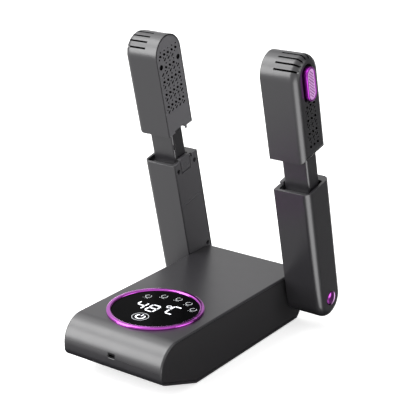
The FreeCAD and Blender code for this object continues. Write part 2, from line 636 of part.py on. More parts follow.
def catch_tab(side):
    """The press tab at the top of the inner cover, which frees the lowered head."""
    a0, a1 = TAB_DEPTH
    face = rounded_box(COVER_INNER + 0.1, COVER_OUTER + 0.3, a0, a1, TAB_FOOT, HOUSING_TOP + TAB_RISE, 0.6, 0)
    top = box(COVER_INNER + 0.8, 60.8, a0, a1, HOUSING_TOP - 1.4, HOUSING_TOP + TAB_RISE)
    back = box(COVER_OUTER + 0.3, COVER_OUTER + 1.3, a0 + 0.2, a1 - 0.2, TAB_FOOT - 2.0, GUIDE_TOP - 3.0)
    flange = box(COVER_OUTER + 0.3, COVER_OUTER + 1.3, a0 - 2.6, a1 + 2.2, TAB_FOOT - 6.0, TAB_FOOT - 1.2)
    tab = fuse([face, top, back, flange])
    grip = [rod(0.45, V(COVER_INNER + 0.05, a0 + 2, h), V(COVER_INNER + 0.05, a1 - 2, h))
            for h in (115.0, 116.8, 118.6)]
    return raise_arm(cut(tab, grip), side)


def catch_spring(side):
    """A bent leaf behind the press tab."""
    leaf = box(COVER_OUTER + 1.3, COVER_OUTER + 1.7, -5.0, 3.0, TAB_FOOT - 10.0, TAB_FOOT + 4.0)
    return raise_arm(leaf, side)


# ---------------------------------------------------------------- heads
LAMP_AT = (-0.7, 228.3)         # middle of the lamp on the outer side: depth, height
LAMP_WIDTH = 14.2
LAMP_LENGTH = 32.2
LAMP_RISE = 3.9
LAMP_DISH = 2.0
CELL_WIDTH = 5.92
CELL_HEIGHT = 12.92
INNER_ROWS = [237.5 - CELL_HEIGHT * i for i in range(5)]
OUTER_ROWS = [207.8 - CELL_HEIGHT * i for i in range(4)]
SLOT_PITCH = 18.75
SLOT_START = 70.4
SLOT_WIDTH = 1.6
SLOT_DEPTH = 4.2                # how far the slots reach in over the outer side
FAN_AT = (0.0, 207.0)
FAN_SIZE = 30.0
FAN_BORE = 13.8
FAN_X = (60.2, 68.2)
ROTOR_RADIUS = 13.2


def slot_tool(x0, x1, a, h, length, width, degrees):
    """A straight slot with round ends through a side wall, tilted from the depth direction."""
    r = width / 2.0
    half = length / 2.0 - r
    p = [V(x0, -half, r), V(x0, -half - r, 0), V(x0, -half, -r)]
    q = [V(x0, half, -r), V(x0, half + r, 0), V(x0, half, r)]
    edges = [Part.Arc(*p).toShape(), Part.LineSegment(p[2], q[0]).toShape(),
             Part.Arc(*q).toShape(), Part.LineSegment(q[2], p[0]).toShape()]
    tool = Part.Face(Part.Wire(edges)).extrude(V(x1 - x0, 0, 0))
    tool.rotate(V(0, 0, 0), V(1, 0, 0), degrees)
    tool.translate(V(0, a, h))
    return tool


def cell_tools(x0, x1, a, h, parts):
    """One cell of the grille: a leaf slot, an oblong slot below it and two dots between them."""
    tools = []
    if "leaf" in parts:
        tools.append(slot_tool(x0, x1, a, h, 3.7, 2.1, -30.0))
    if "oblong" in parts:
        tools.append(slot_tool(x0, x1, a, h - 5.3, 3.7, 1.6, 35.0))
    if "upper_dot" in parts:
        tools.append(rod_x(0.8, x0, x1, a + 1.0, h + 3.85))
    if "lower_dot" in parts:
        tools.append(rod_x(0.8, x0, x1, a - 2.0, h - 2.75))
    return tools


def inner_grille(x0, x1):
    tools = []
    for row, h in enumerate(INNER_ROWS):
        for column in range(-2, 3):
            outer_column = abs(column) == 2
            parts = {"leaf", "oblong", "upper_dot", "lower_dot"}
            if outer_column and row == 0:
                parts -= {"oblong"}
            if outer_column and row == 1:
                parts -= {"leaf", "upper_dot"}
                if column < 0:
                    parts -= {"lower_dot"}
            tools += cell_tools(x0, x1, column * CELL_WIDTH - 0.3, h, parts)
    return tools


def outer_grille(x0, x1):
    tools = []
    for row, h in enumerate(OUTER_ROWS):
        for column in (-1, 0, 1):
            parts = {"leaf", "oblong", "upper_dot", "lower_dot"}
            if row == 0:
                parts -= {"upper_dot"}
            if row == len(OUTER_ROWS) - 1:
                parts -= {"oblong", "lower_dot"}
            tools += cell_tools(x0, x1, LAMP_AT[0] + column * CELL_WIDTH, h, parts)
    return tools


def stadium(x0, x1, grow):
    """An upright oval block centred on the lamp."""
    return slot_tool(x0, x1, LAMP_AT[0], LAMP_AT[1], LAMP_LENGTH + 2 * grow, LAMP_WIDTH + 2 * grow, 90.0)


def top_slots():
    tools = []
    for i in range(-3, 4):
        slab = box(SLOT_START, ARM_OUTER + 1, -SLOT_WIDTH / 2, SLOT_WIDTH / 2,
                   ARM_DEPTH - SLOT_DEPTH, ARM_DEPTH + 2)
        slab.rotate(V(0, 0, 0), V(1, 0, 0), -SLOT_PITCH * i)
        slab.translate(V(0, 0, HEAD_CENTRE))
        tools.append(slab)
    return tools


def head_shell(side):
    """Front, outer side, rear, round top and bottom of the head in one moulding."""
    shell = rounded_arm_prism(ARM_HEAD, ARM_INNER, ARM_OUTER, 0.0, HEAD_BOTTOM, ARM_ROUND)
    hollow = rounded_arm_prism(ARM_HEAD, ARM_INNER - 1, HOLLOW_OUTER, ARM_WALL,
                               HEAD_BOTTOM + ARM_WALL, INNER_ROUND)
    seat = arm_prism(ARM_HEAD, ARM_INNER - 1, COVER_OUTER, COVER_LIP, HEAD_BOTTOM - 1)
    shell = shell.cut(hollow).cut(seat)
    bosses = [rod_x(ARM_BOSS, ARM_INNER + CUP_DEPTH + 1.0, BOSS_END, a, h) for a, h in HEAD_SCREWS]
    shell = fuse([shell] + bosses)
    tools = [neck_box(0.0, HEAD_BOTTOM - 1, HEAD_BOTTOM + ARM_WALL + 1, NECK_ROUND)]
    tools.append(box(ARM_INNER - 1, NECK_INNER + 0.5, TAB_DEPTH[0] - 0.6, TAB_DEPTH[1] + 0.6,
                     HEAD_BOTTOM - 1, HEAD_BOTTOM + TAB_RISE + 0.4))
    tools.append(stadium(HOLLOW_OUTER - 1, ARM_OUTER + 1, 0.0))
    tools.append(stadium(ARM_OUTER - 0.7, ARM_OUTER + 1, LAMP_DISH))
    tools += [rod_x(ARM_SCREW, ARM_INNER, ARM_INNER + 16.0, a, h) for a, h in HEAD_SCREWS]
    tools += outer_grille(HOLLOW_OUTER - 1, ARM_OUTER + 1)
    tools += top_slots()
    return raise_arm(cut(shell, tools), side)


def head_cover(side):
    """The flat perforated inner cover. A small prong under it latches into the housing."""
    plate = arm_prism(ARM_HEAD, COVER_INNER, COVER_OUTER, COVER_LIP + 0.15, HEAD_BOTTOM)
    prong = box(COVER_INNER + 0.2, COVER_OUTER - 0.4, PRONG_DEPTH[0], PRONG_DEPTH[1],
                HEAD_BOTTOM - 3.0, HEAD_BOTTOM + 1)
    visible = HEAD_SCREWS[:2]
    plate = fuse([plate, prong] + cups(visible))
    tools = cup_tools(visible) + inner_grille(COVER_INNER - 1, COVER_OUTER + 1)
    tools.append(box(COVER_INNER - 1, COVER_OUTER + 1, TAB_DEPTH[0] - 0.6, TAB_DEPTH[1] + 0.6,
                     HEAD_BOTTOM - 1, HEAD_BOTTOM + TAB_RISE + 0.4))
    return raise_arm(cut(plate, tools), side)


NECK_FOOT = 95.6
NECK_TOP = 166.0


def neck_tube(side):
    """The sliding neck: a square tube with a lip at its foot and a flange held inside the head."""
    tube = neck_box(0.0, NECK_FOOT, NECK_TOP, NECK_ROUND)
    lip = neck_box(1.0, NECK_FOOT, LIP_TOP, NECK_ROUND)
    flange = box(COVER_OUTER + 0.2, HOLLOW_OUTER - INNER_ROUND - 0.2, -NECK_DEPTH - 2.0, NECK_DEPTH + 2.0,
                 HEAD_BOTTOM + ARM_WALL, HEAD_BOTTOM + ARM_WALL + 2.2)
    neck = fuse([tube, lip, flange])
    tools = [neck_box(-NECK_WALL, NECK_FOOT - 1, NECK_TOP + 1, 0.8)]
    tools.append(box(NECK_INNER - 1, NECK_INNER + 0.6, -NECK_DEPTH, -0.6, HEAD_BOTTOM - 3.6, HEAD_BOTTOM - 2.2))
    tools.append(box(NECK_INNER - 1, NECK_INNER + 1.2, -NECK_DEPTH + 0.6, -NECK_DEPTH + 2.6, 136.0, 141.6))
    return raise_arm(cut(neck, tools), side)


def lamp_bezel(side):
    """The oval metallic collar that stands out of the head's outer side round the lamp."""
    collar = stadium(ARM_OUTER - 3.4, ARM_OUTER + LAMP_RISE, -0.1)
    rim = [e for e in collar.Edges if all(abs(v.X - ARM_OUTER - LAMP_RISE) < 1e-6 for v in e.Vertexes)]
    collar = collar.makeFillet(0.9, rim)
    flange = stadium(HOLLOW_OUTER - 1.4, HOLLOW_OUTER, 1.4)
    collar = fuse([collar, flange])
    tools = [stadium(HOLLOW_OUTER - 3, ARM_OUTER + LAMP_RISE + 1, -1.6)]
    return raise_arm(cut(collar, tools), side)


def lamp_lens(side):
    return raise_arm(stadium(ARM_OUTER + 1.0, ARM_OUTER + LAMP_RISE - 0.6, -1.6), side)


def lamp_board(side):
    """A narrow board behind the lamp, with its light-emitting diodes."""
    a, h = LAMP_AT
    board = box(88.6, 90.2, a - 7.0, a + 7.0, h - 14.0, h + 17.0)
    lights = [box(90.0, 91.4, a - 1.8, a + 1.8, h + s - 1.8, h + s + 1.8) for s in (-10.0, 0.0, 10.0)]
    return raise_arm(fuse([board] + lights), side)


def fan_frame(side):
    """A square axial fan's frame, with the motor's seat on four spokes."""
    a, h = FAN_AT
    x0, x1 = FAN_X
    half = FAN_SIZE / 2.0
    frame = rounded_box(x0, x1, a - half, a + half, h - half, h + half, 2.0, 0)
    frame = frame.cut(rod_x(FAN_BORE, x0 - 1, x1 + 1, a, h))
    seat = rod_x(6.6, x1 - 1.2, x1, a, h)
    post = rod_x(1.8, x1 - 4.4, x1, a, h)
    spokes = []
    for i in range(4):
        spoke = box(x1 - 1.2, x1, -1.0, 1.0, 5.0, FAN_BORE + 0.6)
        spoke.rotate(V(0, 0, 0), V(1, 0, 0), 45.0 + 90.0 * i)
        spoke.translate(V(0, a, h))
        spokes.append(spoke)
    frame = fuse([frame, seat, post] + spokes)
    holes = [rod_x(1.4, x0 - 1, x1 + 1, a + s * 12.2, h + t * 12.2) for s in (-1, 1) for t in (-1, 1)]
    return raise_arm(cut(frame, holes + [rod_x(0.85, x1 - 5, x1 - 0.6, a, h)]), side)


def fan_rotor(side):
    """The fan's cup-shaped hub with its blades and spindle."""
    a, h = FAN_AT
    x0, x1 = FAN_X[0] + 0.6, FAN_X[1] - 1.6
    cup = rod_x(6.8, x0, x1, 0, 0).cut(rod_x(5.8, x0 + 1.2, x1 + 1, 0, 0))
    spindle = rod_x(0.8, x0 + 0.2, x1 + 0.8, 0, 0)
    parts = [cup, spindle]
    reach = rod_x(ROTOR_RADIUS, x0 - 1, x1 + 1, 0, 0).cut(rod_x(6.3, x0 - 2, x1 + 2, 0, 0))
    middle = (x0 + x1) / 2.0
    for i in range(7):
        blade = box(middle - 0.4, middle + 0.4, -4.0, 4.0, 5.0, ROTOR_RADIUS + 2)
        blade.rotate(V(middle, 0, 0), V(0, 0, 1), 58.0)
        blade.rotate(V(0, 0, 0), V(1, 0, 0), 360.0 * i / 7.0)
        parts.append(blade.common(reach).common(rod_x(ROTOR_RADIUS, x0, x1, 0, 0)))
    rotor = fuse(parts)
    rotor.translate(V(0, a, h))
    return raise_arm(rotor, side)


def heater(side):
    """A finned ceramic heater behind the fan."""
    a, h = FAN_AT
    half = FAN_SIZE / 2.0 - 1.0
    ends = [box(70.5, 80.5, a - half, a + half, h + s * half - 1.5, h + s * half + 1.5) for s in (-1, 1)]
    bars = [box(71.0, 80.0, a - half + 5.2 * i, a - half + 2.0 + 5.2 * i, h - half, h + half)
            for i in range(6)]
    fins = [box(72.0, 79.0, a - half, a + half, h - half + 2.4 * i - 0.25, h - half + 2.4 * i + 0.25)
            for i in range(1, 11)]
    return raise_arm(fuse(ends + bars + fins), side)


def thermal_cutout(side):
    """The round safety switch clipped to the heater."""
    a, h = FAN_AT
    foot = h - FAN_SIZE / 2.0 - 0.5
    body = rod_z(4.5, 75.5, a, foot - 6.0, foot)
    tags = [box(75.0, 76.0, a + s * 2.6 - 0.7, a + s * 2.6 + 0.7, foot - 10.0, foot - 5.8) for s in (-1, 1)]
    return raise_arm(fuse([body] + tags), side)


# ---------------------------------------------------------------- write the pieces
BASE_PIECES = {
    "base_top_shell": base_top_shell,
    "base_bottom_cover": base_bottom_cover,
    "base_cover_screws": base_cover_screws,
    "bracket_screws": bracket_screws,
    "rubber_feet": rubber_feet,
    "display_bezel": display_bezel,
    "display_window": display_window,
    "display_board": display_board,
    "digit_module": digit_module,
    "icon_lights": icon_lights,
    "board_screws": board_screws,
    "control_board": control_board,
    "control_components": control_components,
    "power_inlet": power_inlet,
}
SIDE_PIECES = {
    "base_side_panel": base_side_panel,
    "pivot_bracket": pivot_bracket,
    "housing_shell": housing_shell,
    "housing_cover": housing_cover,
    "housing_screws": lambda side: cover_screws(HOUSING_SCREWS, side),
    "pivot_shaft": pivot_shaft,
    "shaft_nut": shaft_nut,
    "friction_washer": friction_washer,
    "pivot_cap": pivot_cap,
    "neck_guide": neck_guide,
    "catch_tab": catch_tab,
    "catch_spring": catch_spring,
    "head_shell": head_shell,
    "head_cover": head_cover,
    "head_screws": lambda side: cover_screws(HEAD_SCREWS[:2], side),
    "neck_tube": neck_tube,
    "lamp_bezel": lamp_bezel,
    "lamp_lens": lamp_lens,
    "lamp_board": lamp_board,
    "fan_frame": fan_frame,
    "fan_rotor": fan_rotor,
    "heater": heater,
    "thermal_cutout": thermal_cutout,
}

for name, make in BASE_PIECES.items():
    export(name, make())
for name, make in SIDE_PIECES.items():
    for side, word in ((-1, "left"), (1, "right")):
        export(name + "_" + word, make(side))
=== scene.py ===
import json
import math

import bmesh
import bpy
from mathutils import Matrix, Vector
from mathutils.bvhtree import BVHTree


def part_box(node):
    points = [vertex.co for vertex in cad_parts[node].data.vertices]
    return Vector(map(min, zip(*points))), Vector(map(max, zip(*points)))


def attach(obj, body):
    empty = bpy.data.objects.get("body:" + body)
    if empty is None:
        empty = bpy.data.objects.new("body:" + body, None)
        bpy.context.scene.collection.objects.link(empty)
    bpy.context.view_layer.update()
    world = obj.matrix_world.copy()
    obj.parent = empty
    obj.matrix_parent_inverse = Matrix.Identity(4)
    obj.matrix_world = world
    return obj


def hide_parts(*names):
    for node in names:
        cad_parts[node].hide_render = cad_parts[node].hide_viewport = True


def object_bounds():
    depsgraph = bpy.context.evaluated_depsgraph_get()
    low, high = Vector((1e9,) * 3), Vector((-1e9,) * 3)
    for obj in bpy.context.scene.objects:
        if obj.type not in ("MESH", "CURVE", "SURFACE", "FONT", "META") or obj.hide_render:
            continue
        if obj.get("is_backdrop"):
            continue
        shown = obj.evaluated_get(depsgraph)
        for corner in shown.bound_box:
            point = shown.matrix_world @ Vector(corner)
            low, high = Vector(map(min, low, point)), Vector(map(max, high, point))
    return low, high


# A boot dryer: a low moulded base with a round display, and two telescoping arms with perforated heads.
# Everything is in metres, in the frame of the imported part. Sizes given in millimetres are turned by MM.
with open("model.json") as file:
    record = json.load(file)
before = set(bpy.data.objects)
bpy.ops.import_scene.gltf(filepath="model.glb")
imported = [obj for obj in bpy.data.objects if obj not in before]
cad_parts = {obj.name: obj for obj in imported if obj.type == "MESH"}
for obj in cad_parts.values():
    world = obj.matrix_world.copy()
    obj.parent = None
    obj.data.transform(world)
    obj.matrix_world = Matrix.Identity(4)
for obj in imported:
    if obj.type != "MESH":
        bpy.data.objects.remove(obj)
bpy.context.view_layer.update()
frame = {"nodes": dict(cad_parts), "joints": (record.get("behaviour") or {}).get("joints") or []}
MM = 0.001


# ------------------------------------------------------------------ studio
# A pale seamless floor, two soft boxes high on the left, and walls that are white behind the camera's left
# and dark on the right, so that the satin casing gets bright tops and dark flanks. White cards low on the
# right and behind light the corners, the metal and the bands at the rear. The camera has a long lens.
CAMERA_AIM = Vector((0.0, 0.0275, 0.1272))
CAMERA_AZIMUTH, CAMERA_ELEVATION = 35.5, 19.6      # degrees
CAMERA_DISTANCE = 1.1415
CAMERA_LENS = 105.8
SENSOR_WIDTH = 36.0
FLOOR_SIZE = 14.0
FLAG_X, FLAG_Y, FLAG_Z = (-0.105, 0.12), (-0.17, 0.13), 0.0001
BRIGHT_WAY = (-0.6, -0.8, 0.05)
DARK_WALL, WHITE_WALL = 0.10, 0.82
CARDS = {  # direction, the cosines of the angle where it starts and is full, and its brightness
    "corner": ((0.67, -0.42, -0.61), 0.82, 0.96, 2.8),
    "rear": ((-0.10, 0.95, -0.28), 0.93, 0.985, 1.4),
    "horizon": ((-0.65, 0.74, -0.15), 0.94, 0.985, 2.6),
    "right": ((0.90, 0.30, 0.20), 0.90, 0.97, 2.0),
    "over": ((-0.55, 0.02, 0.80), 0.85, 0.97, 1.3),
}


def linear(code):
    """An sRGB hex colour as linear red, green, blue and an alpha of 1."""
    parts = [int(code[i:i + 2], 16) / 255.0 for i in (1, 3, 5)]
    return [p / 12.92 if p <= 0.04045 else ((p + 0.055) / 1.055) ** 2.4 for p in parts] + [1.0]


def add_node(tree, kind, settings=(), inputs=()):
    """Adds a node. settings are its own properties; inputs are values, or sockets to link from."""
    node = tree.nodes.new(kind)
    for name, value in dict(settings).items():
        setattr(node, name, value)
    for name, value in dict(inputs).items():
        if isinstance(value, bpy.types.NodeSocket):
            tree.links.new(value, node.inputs[name])
        else:
            node.inputs[name].default_value = value
    return node


def new_material(name, **values):
    """A new node material, as the material, its tree and its shader. values go to the shader's sockets."""
    material = bpy.data.materials.new(name)
    material.use_nodes = True
    shader = material.node_tree.nodes["Principled BSDF"]
    for socket, value in values.items():
        shader.inputs[socket.replace("_", " ")].default_value = value
    return material, material.node_tree, shader


def put_in_scene(thing):
    bpy.context.scene.collection.objects.link(thing)
    return thing


def direction(azimuth, elevation):
    """From the object towards a point round it, in degrees. Azimuth 0 is the front, and 90 the right."""
    turn, rise = math.radians(azimuth), math.radians(elevation)
    return Vector((math.sin(turn) * math.cos(rise), -math.cos(turn) * math.cos(rise), math.sin(rise)))


camera = put_in_scene(bpy.data.objects.new("camera", bpy.data.cameras.new("camera")))
towards_camera = direction(CAMERA_AZIMUTH, CAMERA_ELEVATION)
camera.location = CAMERA_AIM + towards_camera * CAMERA_DISTANCE
camera.rotation_euler = towards_camera.to_track_quat("Z", "Y").to_euler()
camera.data.lens = CAMERA_LENS
camera.data.sensor_width = SENSOR_WIDTH
bpy.context.scene.camera = camera
bpy.context.scene.view_settings.view_transform = "Standard"


def soft_box(name, azimuth, elevation, distance, size, power):
    """A rectangular soft light that faces the middle of the object."""
    light = bpy.data.lights.new(name, "AREA")
    light.shape = "RECTANGLE"
    light.size, light.size_y = size
    light.energy = power
    way = direction(azimuth, elevation)
    lamp = put_in_scene(bpy.data.objects.new(name, light))
    lamp.location = CAMERA_AIM + way * distance
    lamp.rotation_euler = way.to_track_quat("Z", "Y").to_euler()


soft_box("key_box", azimuth=-52.0, elevation=50.0, distance=2.2, size=(1.6, 1.3), power=26.0)
soft_box("front_box", azimuth=-40.0, elevation=15.0, distance=2.2, size=(1.3, 1.3), power=30.0)

world = bpy.data.worlds.new("studio")
bpy.context.scene.world = world
world.use_nodes = True
walls = world.node_tree
way_out = add_node(walls, "ShaderNodeTexCoord").outputs["Generated"]


def wall_patch(way, start, end, dark, bright):
    """How bright the walls are round one direction, between two cosines of the angle from it."""
    near = add_node(walls, "ShaderNodeVectorMath", {"operation": "DOT_PRODUCT"},
                    {0: way_out, 1: Vector(way).normalized()})
    patch = add_node(walls, "ShaderNodeMapRange", {"interpolation_type": "SMOOTHSTEP"}, {
        "Value": near.outputs["Value"], "From Min": start, "From Max": end, "To Min": dark, "To Max": bright})
    return patch.outputs["Result"]


wall_light = wall_patch(BRIGHT_WAY, -1.0, -0.1, DARK_WALL, WHITE_WALL)
for way, start, end, bright in CARDS.values():
    wall_light = add_node(walls, "ShaderNodeMath", {"operation": "ADD"}, {
        0: wall_light, 1: wall_patch(way, start, end, 0.0, bright)}).outputs["Value"]
walls.links.new(wall_light, walls.nodes["Background"].inputs["Strength"])
walls.nodes["Background"].inputs["Color"].default_value = (1.0, 1.0, 1.0, 1.0)


def ground_sheet(name, x, y, z, material):
    """A flat sheet for the studio, between two values of x and of y."""
    mesh = bpy.data.meshes.new(name)
    corners = [(x[0], y[0], z), (x[1], y[0], z), (x[1], y[1], z), (x[0], y[1], z)]
    mesh.from_pydata(corners, [], [(0, 1, 2, 3)])
    mesh.materials.append(material)
    sheet = put_in_scene(bpy.data.objects.new(name, mesh))
    sheet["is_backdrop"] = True
    return sheet


# The floor glows a little, so that the shadow stays faint, and it can't be seen in the object's gloss.
floor_paint = new_material("matte_studio_paint", Base_Color=linear("#f4f4f4"), Roughness=0.9,
                           Specular_IOR_Level=0.1, Emission_Color=linear("#ffffff"), Emission_Strength=0.6)[0]
half_floor = FLOOR_SIZE / 2.0
floor = ground_sheet("studio_floor", (-half_floor, half_floor), (-half_floor, half_floor), 0.0, floor_paint)
floor.visible_glossy = False
floor.visible_diffuse = False
# A black cloth under the object, seen only in its gloss, keeps the low parts of its front dark.
flag_cloth = new_material("black_flag_cloth", Base_Color=linear("#0c0c0c"), Roughness=1.0,
                          Specular_IOR_Level=0.0)[0]
flag = ground_sheet("studio_flag", FLAG_X, FLAG_Y, FLAG_Z, flag_cloth)
for ray in ("camera", "diffuse", "transmission", "shadow"):
    setattr(flag, "visible_" + ray, False)


# ------------------------------------------------------------------ base casing
# The base is moulded satin ABS: one channel-shaped skin over the top, nose and rear, a darker flat panel
# let into each side, and a bent tray below that six sunk screws hold. The mould eases every sharp edge.
WELD = 0.002 * MM
FLAT_ANGLE = math.radians(0.2)
EASE_ANGLE = math.radians(32.0)
SHELL_COLOUR = "#2c2b2e"
PANEL_COLOUR = "#2a292b"
GRAIN, SHEEN_PATCH = 0.5, 14.0


def applied(carrier):
    """The carrier's mesh with its modifiers applied. The carrier itself is removed."""
    result = bpy.data.meshes.new_from_object(carrier.evaluated_get(bpy.context.evaluated_depsgraph_get()))
    bpy.data.objects.remove(carrier)
    return result


def eased(mesh, ease):
    """A mesh with its sharp edges rounded by some millimetres, and its flat faces shaded flat."""
    mesh.shade_smooth()
    carrier = put_in_scene(bpy.data.objects.new("carrier", mesh))
    edge_round = carrier.modifiers.new("edge_round", "BEVEL")
    edge_round.width = ease * MM
    edge_round.segments = 2
    edge_round.limit_method = "ANGLE"
    edge_round.angle_limit = EASE_ANGLE
    edge_round.use_clamp_overlap = False
    carrier.modifiers.new("flat_faces", "WEIGHTED_NORMAL")
    return applied(carrier)


def moulded(node, ease):
    """A CAD node's shape with its triangles joined and its edges eased. Where many edges meet, the rounding
    can throw a corner off its form, so it is brought back."""
    mesh = frame["nodes"][node].data.copy()
    for layer in ("custom_normal", "sharp_edge", "sharp_face"):
        if layer in mesh.attributes:
            mesh.attributes.remove(mesh.attributes[layer])
    shape = bmesh.new()
    shape.from_mesh(mesh)
    bmesh.ops.remove_doubles(shape, verts=shape.verts, dist=WELD)
    bmesh.ops.dissolve_limit(shape, angle_limit=FLAT_ANGLE, verts=shape.verts, edges=shape.edges)
    sharp_form = BVHTree.FromBMesh(shape)
    shape.to_mesh(mesh)
    shape.free()
    rounded = eased(mesh, ease)
    for point in rounded.vertices:
        on_form, _, _, away = sharp_form.find_nearest(point.co)
        if away > ease * MM:
            point.co = on_form
    return rounded


def fit_piece(name, mesh, material, body, stands_for=()):
    """Puts a finished piece on its body, in its finish, in place of the CAD nodes it stands for."""
    mesh.materials.clear()
    mesh.materials.append(material)
    piece = put_in_scene(bpy.data.objects.new(name, mesh))
    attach(piece, body)
    if stands_for:
        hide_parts(*stands_for)
    return piece


def satin_abs(name, colour, roughness, specular):
    """ABS from a spark-eroded mould: an even satin grain, and a sheen that is faintly uneven.
    The real grain of about 0.05 mm is drawn coarser, at 0.5 mm, or it wouldn't show at all."""
    material, tree, shader = new_material(name, IOR=1.54, Specular_IOR_Level=specular)
    place = add_node(tree, "ShaderNodeTexCoord").outputs["Object"]
    grain = add_node(tree, "ShaderNodeTexNoise", inputs={
        "Vector": place, "Scale": 1.0 / (GRAIN * MM), "Detail": 3.0})
    cloud = add_node(tree, "ShaderNodeTexNoise", inputs={
        "Vector": place, "Scale": 1.0 / (SHEEN_PATCH * MM), "Detail": 4.0})
    relief = add_node(tree, "ShaderNodeBump", inputs={
        "Height": grain.outputs["Fac"], "Strength": 0.12, "Distance": 0.02 * MM})
    sheen = add_node(tree, "ShaderNodeMapRange", inputs={
        "Value": cloud.outputs["Fac"], "To Min": roughness - 0.04, "To Max": roughness + 0.04})
    speck = add_node(tree, "ShaderNodeMapRange", inputs={
        "Value": grain.outputs["Fac"], "To Min": 0.9, "To Max": 1.1})
    tone = add_node(tree, "ShaderNodeVectorMath", {"operation": "SCALE"},
                    {0: linear(colour)[:3], "Scale": speck.outputs["Result"]})
    tree.links.new(tone.outputs["Vector"], shader.inputs["Base Color"])
    tree.links.new(sheen.outputs["Result"], shader.inputs["Roughness"])
    tree.links.new(relief.outputs["Normal"], shader.inputs["Normal"])
    return material


shell_abs = satin_abs("satin_grey_abs", SHELL_COLOUR, 0.32, 0.8)
panel_abs = satin_abs("fine_dark_abs", PANEL_COLOUR, 0.45, 0.5)

fit_piece("base_skin", moulded("base_top_shell", 0.55), shell_abs, "base", ["base_top_shell"])
fit_piece("base_tray", moulded("base_bottom_cover", 0.2), panel_abs, "base",
          ["base_bottom_cover"])
for side in ("left", "right"):
    fit_piece("side_panel_" + side, moulded("base_side_panel_" + side, 0.3), panel_abs, "base",
              ["base_side_panel_" + side])


# ------------------------------------------------------------------ feet and screws
# Four soft rubber feet with ringed soles, and black oxide pan-head screws with cross recesses: six under the
# base, four in each arm and two in each head. Each kind is one turned shape, set at every place it is used.
RING_STEPS = 32
FOOT_EDGE, FOOT_ROUND = 0.5, 0.15
GROOVE_RADII = (3.4, 1.9)
GROOVE_DEPTH = 0.25
GROOVE_TOP, GROOVE_FLOOR = 0.35, 0.15      # half the width of a groove, at the sole and at its floor
THREAD_PITCH = 0.8
THREAD_CORE = 0.82                         # the core's share of the shank's radius
CROSS_REACH, CROSS_WIDTH = 0.62, 0.55      # the share of the head's radius, and millimetres
HEAD_FLAT, HEAD_CROWN = 0.72, 0.35         # the flat's share of the head's radius, the crown's of its height
TRAY_SCREW = (2.8, 1.5, 1.3)               # head radius, shank radius and head height
SMALL_SCREW = (2.2, 1.1, 1.5)


def finished(shape, name):
    """The mesh of a built shape, with its faces turned outwards."""
    bmesh.ops.recalc_face_normals(shape, faces=shape.faces)
    mesh = bpy.data.meshes.new(name)
    shape.to_mesh(mesh)
    shape.free()
    return mesh


def turned(profile):
    """A solid turned about Z from (radius, height) points in millimetres that start and end on the axis."""
    shape = bmesh.new()
    points = [shape.verts.new((r * MM, 0.0, z * MM)) for r, z in profile]
    edges = [shape.edges.new(pair) for pair in zip(points, points[1:])]
    bmesh.ops.spin(shape, geom=points + edges, axis=(0, 0, 1), cent=(0, 0, 0), steps=RING_STEPS,
                   angle=math.tau, use_merge=True)
    bmesh.ops.remove_doubles(shape, verts=shape.verts, dist=WELD)
    return finished(shape, "turned")


def new_tree(name, **sockets):
    """A Geometry Nodes tree with named inputs, and its group input and output nodes."""
    tree = bpy.data.node_groups.new(name, "GeometryNodeTree")
    tree.interface.new_socket("Geometry", in_out="INPUT", socket_type="NodeSocketGeometry")
    for label, kind in sockets.items():
        tree.interface.new_socket(label, in_out="INPUT", socket_type="NodeSocket" + kind)
    tree.interface.new_socket("Geometry", in_out="OUTPUT", socket_type="NodeSocketGeometry")
    return tree, add_node(tree, "NodeGroupInput").outputs, add_node(tree, "NodeGroupOutput").inputs


def close_tree(tree, given, results, instances):
    """Ends a tree: its instances are made real and take the material that was given."""
    real = add_node(tree, "GeometryNodeRealizeInstances", inputs={"Geometry": instances})
    painted = add_node(tree, "GeometryNodeSetMaterial", inputs={
        "Geometry": real.outputs["Geometry"], "Material": given["Material"]})
    tree.links.new(painted.outputs["Geometry"], results["Geometry"])


def grown(tree, points, **values):
    """The plain mesh that a tree makes from a list of points, with its inputs set."""
    mesh = bpy.data.meshes.new(tree.name)
    mesh.from_pydata(points, [], [])
    carrier = put_in_scene(bpy.data.objects.new("carrier", mesh))
    modifier = carrier.modifiers.new("grow", "NODES")
    modifier.node_group = tree
    for item in tree.interface.items_tree:
        if item.in_out == "INPUT" and item.name in values:
            modifier[item.identifier] = values[item.name]
    return applied(carrier)


placing, given, results = new_tree("place_at_points", Pattern="Object", Material="Material")
pattern = add_node(placing, "GeometryNodeObjectInfo", inputs={"Object": given["Pattern"]})
placed = add_node(placing, "GeometryNodeInstanceOnPoints", inputs={
    "Points": given["Geometry"], "Instance": pattern.outputs["Geometry"]})
close_tree(placing, given, results, placed.outputs["Instances"])


def solids_of(node, to_local):
    """The lowest and highest corner of each separate solid in a CAD node, in a local frame."""
    shape = bmesh.new()
    shape.from_mesh(frame["nodes"][node].data)
    bmesh.ops.remove_doubles(shape, verts=shape.verts, dist=WELD)
    shape.transform(to_local)
    waiting = set(shape.verts)
    boxes = []
    while waiting:
        island = {waiting.pop()}
        shore = set(island)
        while shore:
            shore = {edge.other_vert(v) for v in shore for edge in v.link_edges} - island
            island |= shore
        waiting -= island
        boxes.append(tuple(Vector([pick(v.co[i] for v in island) for i in range(3)])
                           for pick in (min, max)))
    shape.free()
    return boxes


def carried(mesh, place):
    """A mesh taken from a local frame to the object's, with its faces still outwards if that mirrors it."""
    mesh.transform(place)
    if place.determinant() < 0.0:
        mesh.flip_normals()
    return mesh


def placed_copies(mesh, points, material, place):
    """One mesh of copies of a shape at some points, taken from the local frame to the object's."""
    shape = bpy.data.objects.new("pattern", mesh)
    result = grown(placing, points, Pattern=shape, Material=material)
    bpy.data.objects.remove(shape)
    return carried(result, place)


